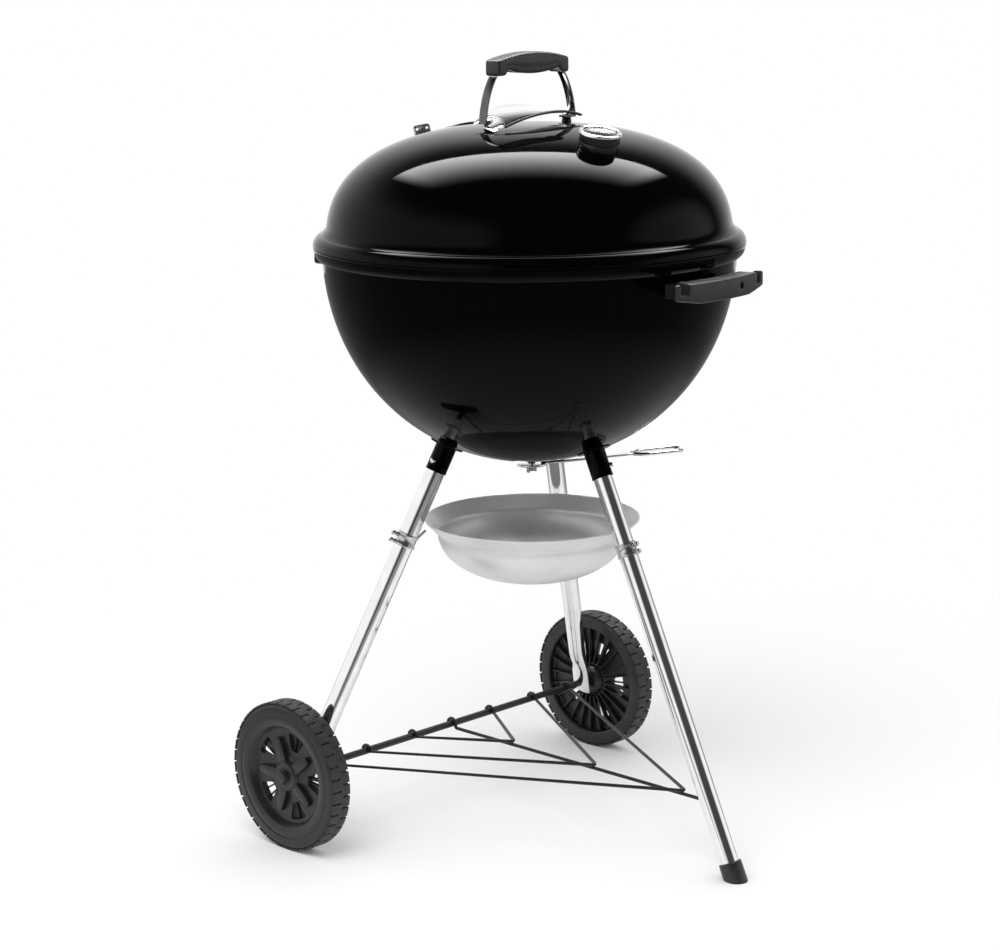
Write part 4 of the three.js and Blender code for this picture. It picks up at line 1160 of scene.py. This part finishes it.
def pan_curve(inset, count=28):
    points = []
    for i in range(count + 1):
        angle = math.radians(90 * i / count)
        drop = (PAN["depth"] - inset) * math.cos(angle)
        points.append(((PAN["neck"] - inset) * math.sin(angle) ** 0.9, PAN["neck_height"] - drop))
    return points


def make_ash_pan():
    rim, top, neck, step = PAN["rim"], PAN["rim_height"], PAN["neck"], PAN["neck_height"]
    outer = [*pan_curve(0), (neck + 0.6 * MM, step + 1.2 * MM), (neck + 2.6 * MM, step + 2.6 * MM),
             (neck + 5 * MM, step + 5 * MM), (rim - 2.2 * MM, top - 3.6 * MM),
             (rim - 0.4 * MM, top - 2.4 * MM),
             (rim, top - 1.2 * MM), (rim - 0.4 * MM, top - 0.3 * MM), (rim - 1.1 * MM, top)]
    inner = [*pan_curve(PAN["wall"]), (neck - 0.6 * MM, step + 1.6 * MM), (neck + 1.4 * MM, step + 3.8 * MM),
             (neck + 4 * MM, step + 6.4 * MM), (rim - 3.4 * MM, top - 2 * MM),
             (rim - 2.2 * MM, top - 0.6 * MM)]
    pan = placed(spun("pan", [*outer, *reversed(inner)], 128), KETTLE)
    finish_piece("ash_pan", pan, "ash_catcher", "satin_aluminium", ["ash_catcher"], 50)


def make_sweeper():
    blades = from_frame("sweeper_blades", 0.3 * MM)
    finish_piece("sweeping_blades", blades, "sweeper", "steel", ["sweeper_blades"])
    shaft = from_frame("sweeper_shaft", 0.4 * MM)
    finish_piece("sweeping_shaft", shaft, "sweeper", "steel", ["sweeper_shaft"])
    pin = from_frame("sweeper_pin", 0.4 * MM)
    finish_piece("sweeping_pin", pin, "sweeper", "steel", ["sweeper_pin"])
    top = 0.5025
    thick = 3 * MM
    disc = spun("disc", closed([(5.4 * MM, top - thick), (0.0195, top - thick),
                                (0.02, top - thick + 0.5 * MM),
                                (0.02, top - 0.5 * MM), (0.0195, top), (5.4 * MM, top)]), 56)
    strip = rounded(extruded("strip", [(0.015, -6 * MM), (0.138, -6 * MM), (0.158, -4 * MM), (0.158, 4 * MM),
                                       (0.138, 6 * MM), (0.015, 6 * MM)], thick), 0.6 * MM, 3, 40)
    placed(strip, Matrix.Translation((0, 0, top - thick)))
    z = top - thick / 2
    half, start, end = 0.014, 0.152, 0.226
    arc = [(end - half + half * math.cos(math.radians(a)), half * math.sin(math.radians(a)), z)
           for a in range(90, -91, -12)]
    corner = [(start, 3 * MM, z), (start + 0.014, half, z)]
    path = rounded_path([*corner, arc[0]], 5 * MM)[:-1] + [Vector(p) for p in arc]
    path += rounded_path([arc[-1], (start + 0.014, -half, z), (start, -3 * MM, z)], 5 * MM)[1:]
    loop = wire("loop", path, 2.6 * MM)
    piece = placed(joined("lever", [disc, strip, loop]), KETTLE @ turn_z(LEVER_BEARING))
    finish_piece("sweeping_lever", piece, "sweeper", "bright_steel", ["sweeper_lever"], 45)


# ---- Grates ----

GRATES = {
    "cooking_grate": {"radius": 0.262, "height": 0.775, "pitch": 0.0142, "ring": 3 * MM, "rod": 2 * MM},
    "charcoal_grate": {"radius": 0.212, "height": 0.627, "pitch": 0.02, "ring": 3.5 * MM, "rod": 2.6 * MM},
}


def make_grate(name, grate):
    radius, height = grate["radius"], grate["height"]
    bpy.ops.object.select_all(action="DESELECT")
    bpy.ops.mesh.primitive_torus_add(major_radius=radius, minor_radius=grate["ring"],
                                     major_segments=96, minor_segments=12)
    ring = placed(bpy.context.object, Matrix.Translation((0, 0, height)))
    parts = [ring]
    count = int((radius - 0.008) / grate["pitch"])
    for i in range(-count, count + 1):
        x = i * grate["pitch"]
        reach = math.sqrt(radius**2 - x**2)
        parts.append(rod((x, -reach, height), (x, reach, height), grate["rod"], 10))
    for y in (-0.45 * radius, 0.45 * radius):
        reach = math.sqrt(radius**2 - y**2)
        z = height - grate["rod"]
        parts.append(rod((-reach, y, z), (reach, y, z), grate["ring"], 10))
    piece = placed(joined(name, parts), KETTLE)
    finish_piece(f"{name}_wires", piece, name, "grate_steel", [name], 50)
    for i in (1, 2, 3):
        ledge = f"{name.split('_')[0]}_ledge_{i}"
        finish_piece(f"{ledge}_strip", from_frame(ledge, 0.3 * MM), "stand", "steel", [ledge])


# ---- Studio ----

CAMERA = {"azimuth": -46.37, "distance": 3.3961, "height": 1.2132,
          "yaw": -0.722, "pitch": 12.084, "roll": -0.728}
LENS = 92.73


def make_camera():
    azimuth = math.radians(CAMERA["azimuth"])
    yaw, pitch, roll = (math.radians(CAMERA[k]) for k in ("yaw", "pitch", "roll"))
    ahead = Vector((-math.sin(azimuth), math.cos(azimuth), 0))
    side = Vector((math.cos(azimuth), math.sin(azimuth), 0))
    forward = ahead * math.cos(yaw) + side * math.sin(yaw)
    right = side * math.cos(yaw) - ahead * math.sin(yaw)
    look = forward * math.cos(pitch) - Vector((0, 0, 1)) * math.sin(pitch)
    up = Vector((0, 0, 1)) * math.cos(pitch) + forward * math.sin(pitch)
    across = right * math.cos(roll) + up * math.sin(roll)
    above = up * math.cos(roll) - right * math.sin(roll)
    data = bpy.data.cameras.new("camera")
    data.sensor_width = 36
    data.sensor_fit = "HORIZONTAL"
    data.lens = LENS
    camera = bpy.data.objects.new("camera", data)
    bpy.context.scene.collection.objects.link(camera)
    matrix = Matrix((across, above, -look)).transposed().to_4x4()
    matrix.translation = KETTLE @ Vector((CAMERA["distance"] * math.sin(azimuth),
                                          -CAMERA["distance"] * math.cos(azimuth), CAMERA["height"]))
    camera.matrix_world = matrix
    bpy.context.scene.camera = camera


def stage_plane(name, size, matrix, material, camera=True):
    bpy.ops.object.select_all(action="DESELECT")
    bpy.ops.mesh.primitive_plane_add(size=1)
    piece = bpy.context.object
    piece.name = name
    placed(piece, matrix @ Matrix.Diagonal((*size, 1, 1)))
    piece.data.materials.append(material)
    piece.visible_camera = camera
    piece.visible_diffuse = camera
    piece.visible_shadow = camera
    return piece


def fading(tree, value, start, end):
    """Goes softly from 0 to 1 as the value goes from start to end."""
    step = tree.nodes.new("ShaderNodeMapRange")
    step.interpolation_type = "SMOOTHSTEP"
    step.inputs["From Min"].default_value = start
    step.inputs["From Max"].default_value = end
    tree.links.new(value, step.inputs["Value"])
    return step.outputs["Result"]


FLOOR_DIMMING = 0.72
SOFTBOX_STRENGTH = 17


def floor_material():
    """Near-white paper that fades into the backdrop's white."""
    material = bpy.data.materials.new("floor_paper")
    material.use_nodes = True
    tree = material.node_tree
    tree.nodes.clear()
    out = tree.nodes.new("ShaderNodeOutputMaterial")
    place = tree.nodes.new("ShaderNodeTexCoord")
    length = tree.nodes.new("ShaderNodeVectorMath")
    length.operation = "LENGTH"
    tree.links.new(place.outputs["Object"], length.inputs[0])
    fade = fading(tree, length.outputs["Value"], 0.45, 1.5)
    paper = tree.nodes.new("ShaderNodeBsdfDiffuse")
    paper.inputs["Color"].default_value = (0.93, 0.93, 0.93, 1)
    glow = tree.nodes.new("ShaderNodeEmission")
    path = tree.nodes.new("ShaderNodeLightPath")
    dimmed = math_node(tree, "MULTIPLY", path.outputs["Is Glossy Ray"], FLOOR_DIMMING)
    glow_strength = math_node(tree, "SUBTRACT", 1.0, dimmed)
    tree.links.new(glow_strength, glow.inputs["Strength"])
    mix = tree.nodes.new("ShaderNodeMixShader")
    tree.links.new(fade, mix.inputs["Fac"])
    tree.links.new(paper.outputs[0], mix.inputs[1])
    tree.links.new(glow.outputs[0], mix.inputs[2])
    tree.links.new(mix.outputs[0], out.inputs["Surface"])
    return material


def softbox_material(strength, soft_from, soft_to):
    """A lit panel whose light dies away towards one side."""
    material = bpy.data.materials.new("softbox")
    material.use_nodes = True
    tree = material.node_tree
    tree.nodes.clear()
    out = tree.nodes.new("ShaderNodeOutputMaterial")
    place = tree.nodes.new("ShaderNodeTexCoord")
    split = tree.nodes.new("ShaderNodeSeparateXYZ")
    tree.links.new(place.outputs["UV"], split.inputs[0])
    fade = fading(tree, split.outputs["Y"], soft_from, soft_to)
    across = math_node(tree, "ABSOLUTE", math_node(tree, "SUBTRACT", split.outputs["X"], 0.5))
    side = fading(tree, across, 0.5, 0.36)
    glow = tree.nodes.new("ShaderNodeEmission")
    power = math_node(tree, "MULTIPLY", fade, side)
    tree.links.new(math_node(tree, "MULTIPLY", power, strength), glow.inputs["Strength"])
    tree.links.new(glow.outputs[0], out.inputs["Surface"])
    return material


def make_world():
    """White to look at, and in reflections bright behind and at one side and dim in front."""
    world = bpy.data.worlds.new("studio")
    bpy.context.scene.world = world
    world.use_nodes = True
    tree = world.node_tree
    back = tree.nodes["Background"]
    place = tree.nodes.new("ShaderNodeTexCoord").outputs["Generated"]
    azimuth = math.radians(CAMERA["azimuth"])

    def along(x, y, low, high):
        dot = tree.nodes.new("ShaderNodeVectorMath")
        dot.operation = "DOT_PRODUCT"
        dot.inputs[1].default_value = (x, y, 0)
        tree.links.new(place, dot.inputs[0])
        return fading(tree, dot.outputs["Value"], low, high)

    behind = along(-math.sin(azimuth), math.cos(azimuth), 0.6, 0.92)
    left = along(-math.cos(azimuth), -math.sin(azimuth), 0.15, 0.55)
    right = along(math.cos(azimuth), math.sin(azimuth), 0.75, 0.95)
    split = tree.nodes.new("ShaderNodeSeparateXYZ")
    tree.links.new(place, split.inputs[0])
    low = fading(tree, split.outputs["Z"], 0.75, 0.35)
    lit = math_node(tree, "ADD", math_node(tree, "ADD", behind, left), right, clamp=True)
    shown = math_node(tree, "ADD", math_node(tree, "MULTIPLY", lit, low), 0.06)
    path = tree.nodes.new("ShaderNodeLightPath")
    plain = math_node(tree, "SUBTRACT", 1.0, path.outputs["Is Glossy Ray"])
    glossy = math_node(tree, "MULTIPLY", shown, path.outputs["Is Glossy Ray"])
    back.inputs["Color"].default_value = (1, 1, 1, 1)
    tree.links.new(math_node(tree, "ADD", plain, glossy), back.inputs["Strength"])


def make_studio():
    make_camera()
    make_world()
    stage_plane("floor", (9, 9), Matrix.Translation((0, 0, 0)), floor_material())
    azimuth = math.radians(CAMERA["azimuth"])
    ahead = Vector((-math.sin(azimuth), math.cos(azimuth), 0))
    centre = ahead * 0.55 + Vector((0, 0, 2.5))
    panel = aim(centre, Vector((0, 0, 0.95)) - centre, ahead.cross(Vector((0, 0, 1))))
    glow = softbox_material(SOFTBOX_STRENGTH, 1.0, 0.1)
    stage_plane("overhead_softbox", (2.9, 1.25), panel, glow, camera=False)
    key = bpy.data.lights.new("key", "AREA")
    key.energy = 26
    key.size = 1.6
    light = bpy.data.objects.new("key", key)
    bpy.context.scene.collection.objects.link(light)
    place = Vector((-1.6, -0.6, 2.6))
    light.matrix_world = aim(place, place - Vector((0, 0, 0.5)), (1, 0, 0))
    light.visible_glossy = False
    bpy.context.scene.view_settings.view_transform = "Standard"


make_lid()
make_vent()
make_bowl()
make_lid_handle()
make_thermometer()
make_bowl_handles()
make_legs()
make_wheels()
make_rack()
make_ash_pan()
make_sweeper()
for grate_name, grate_size in GRATES.items():
    make_grate(grate_name, grate_size)
make_studio()
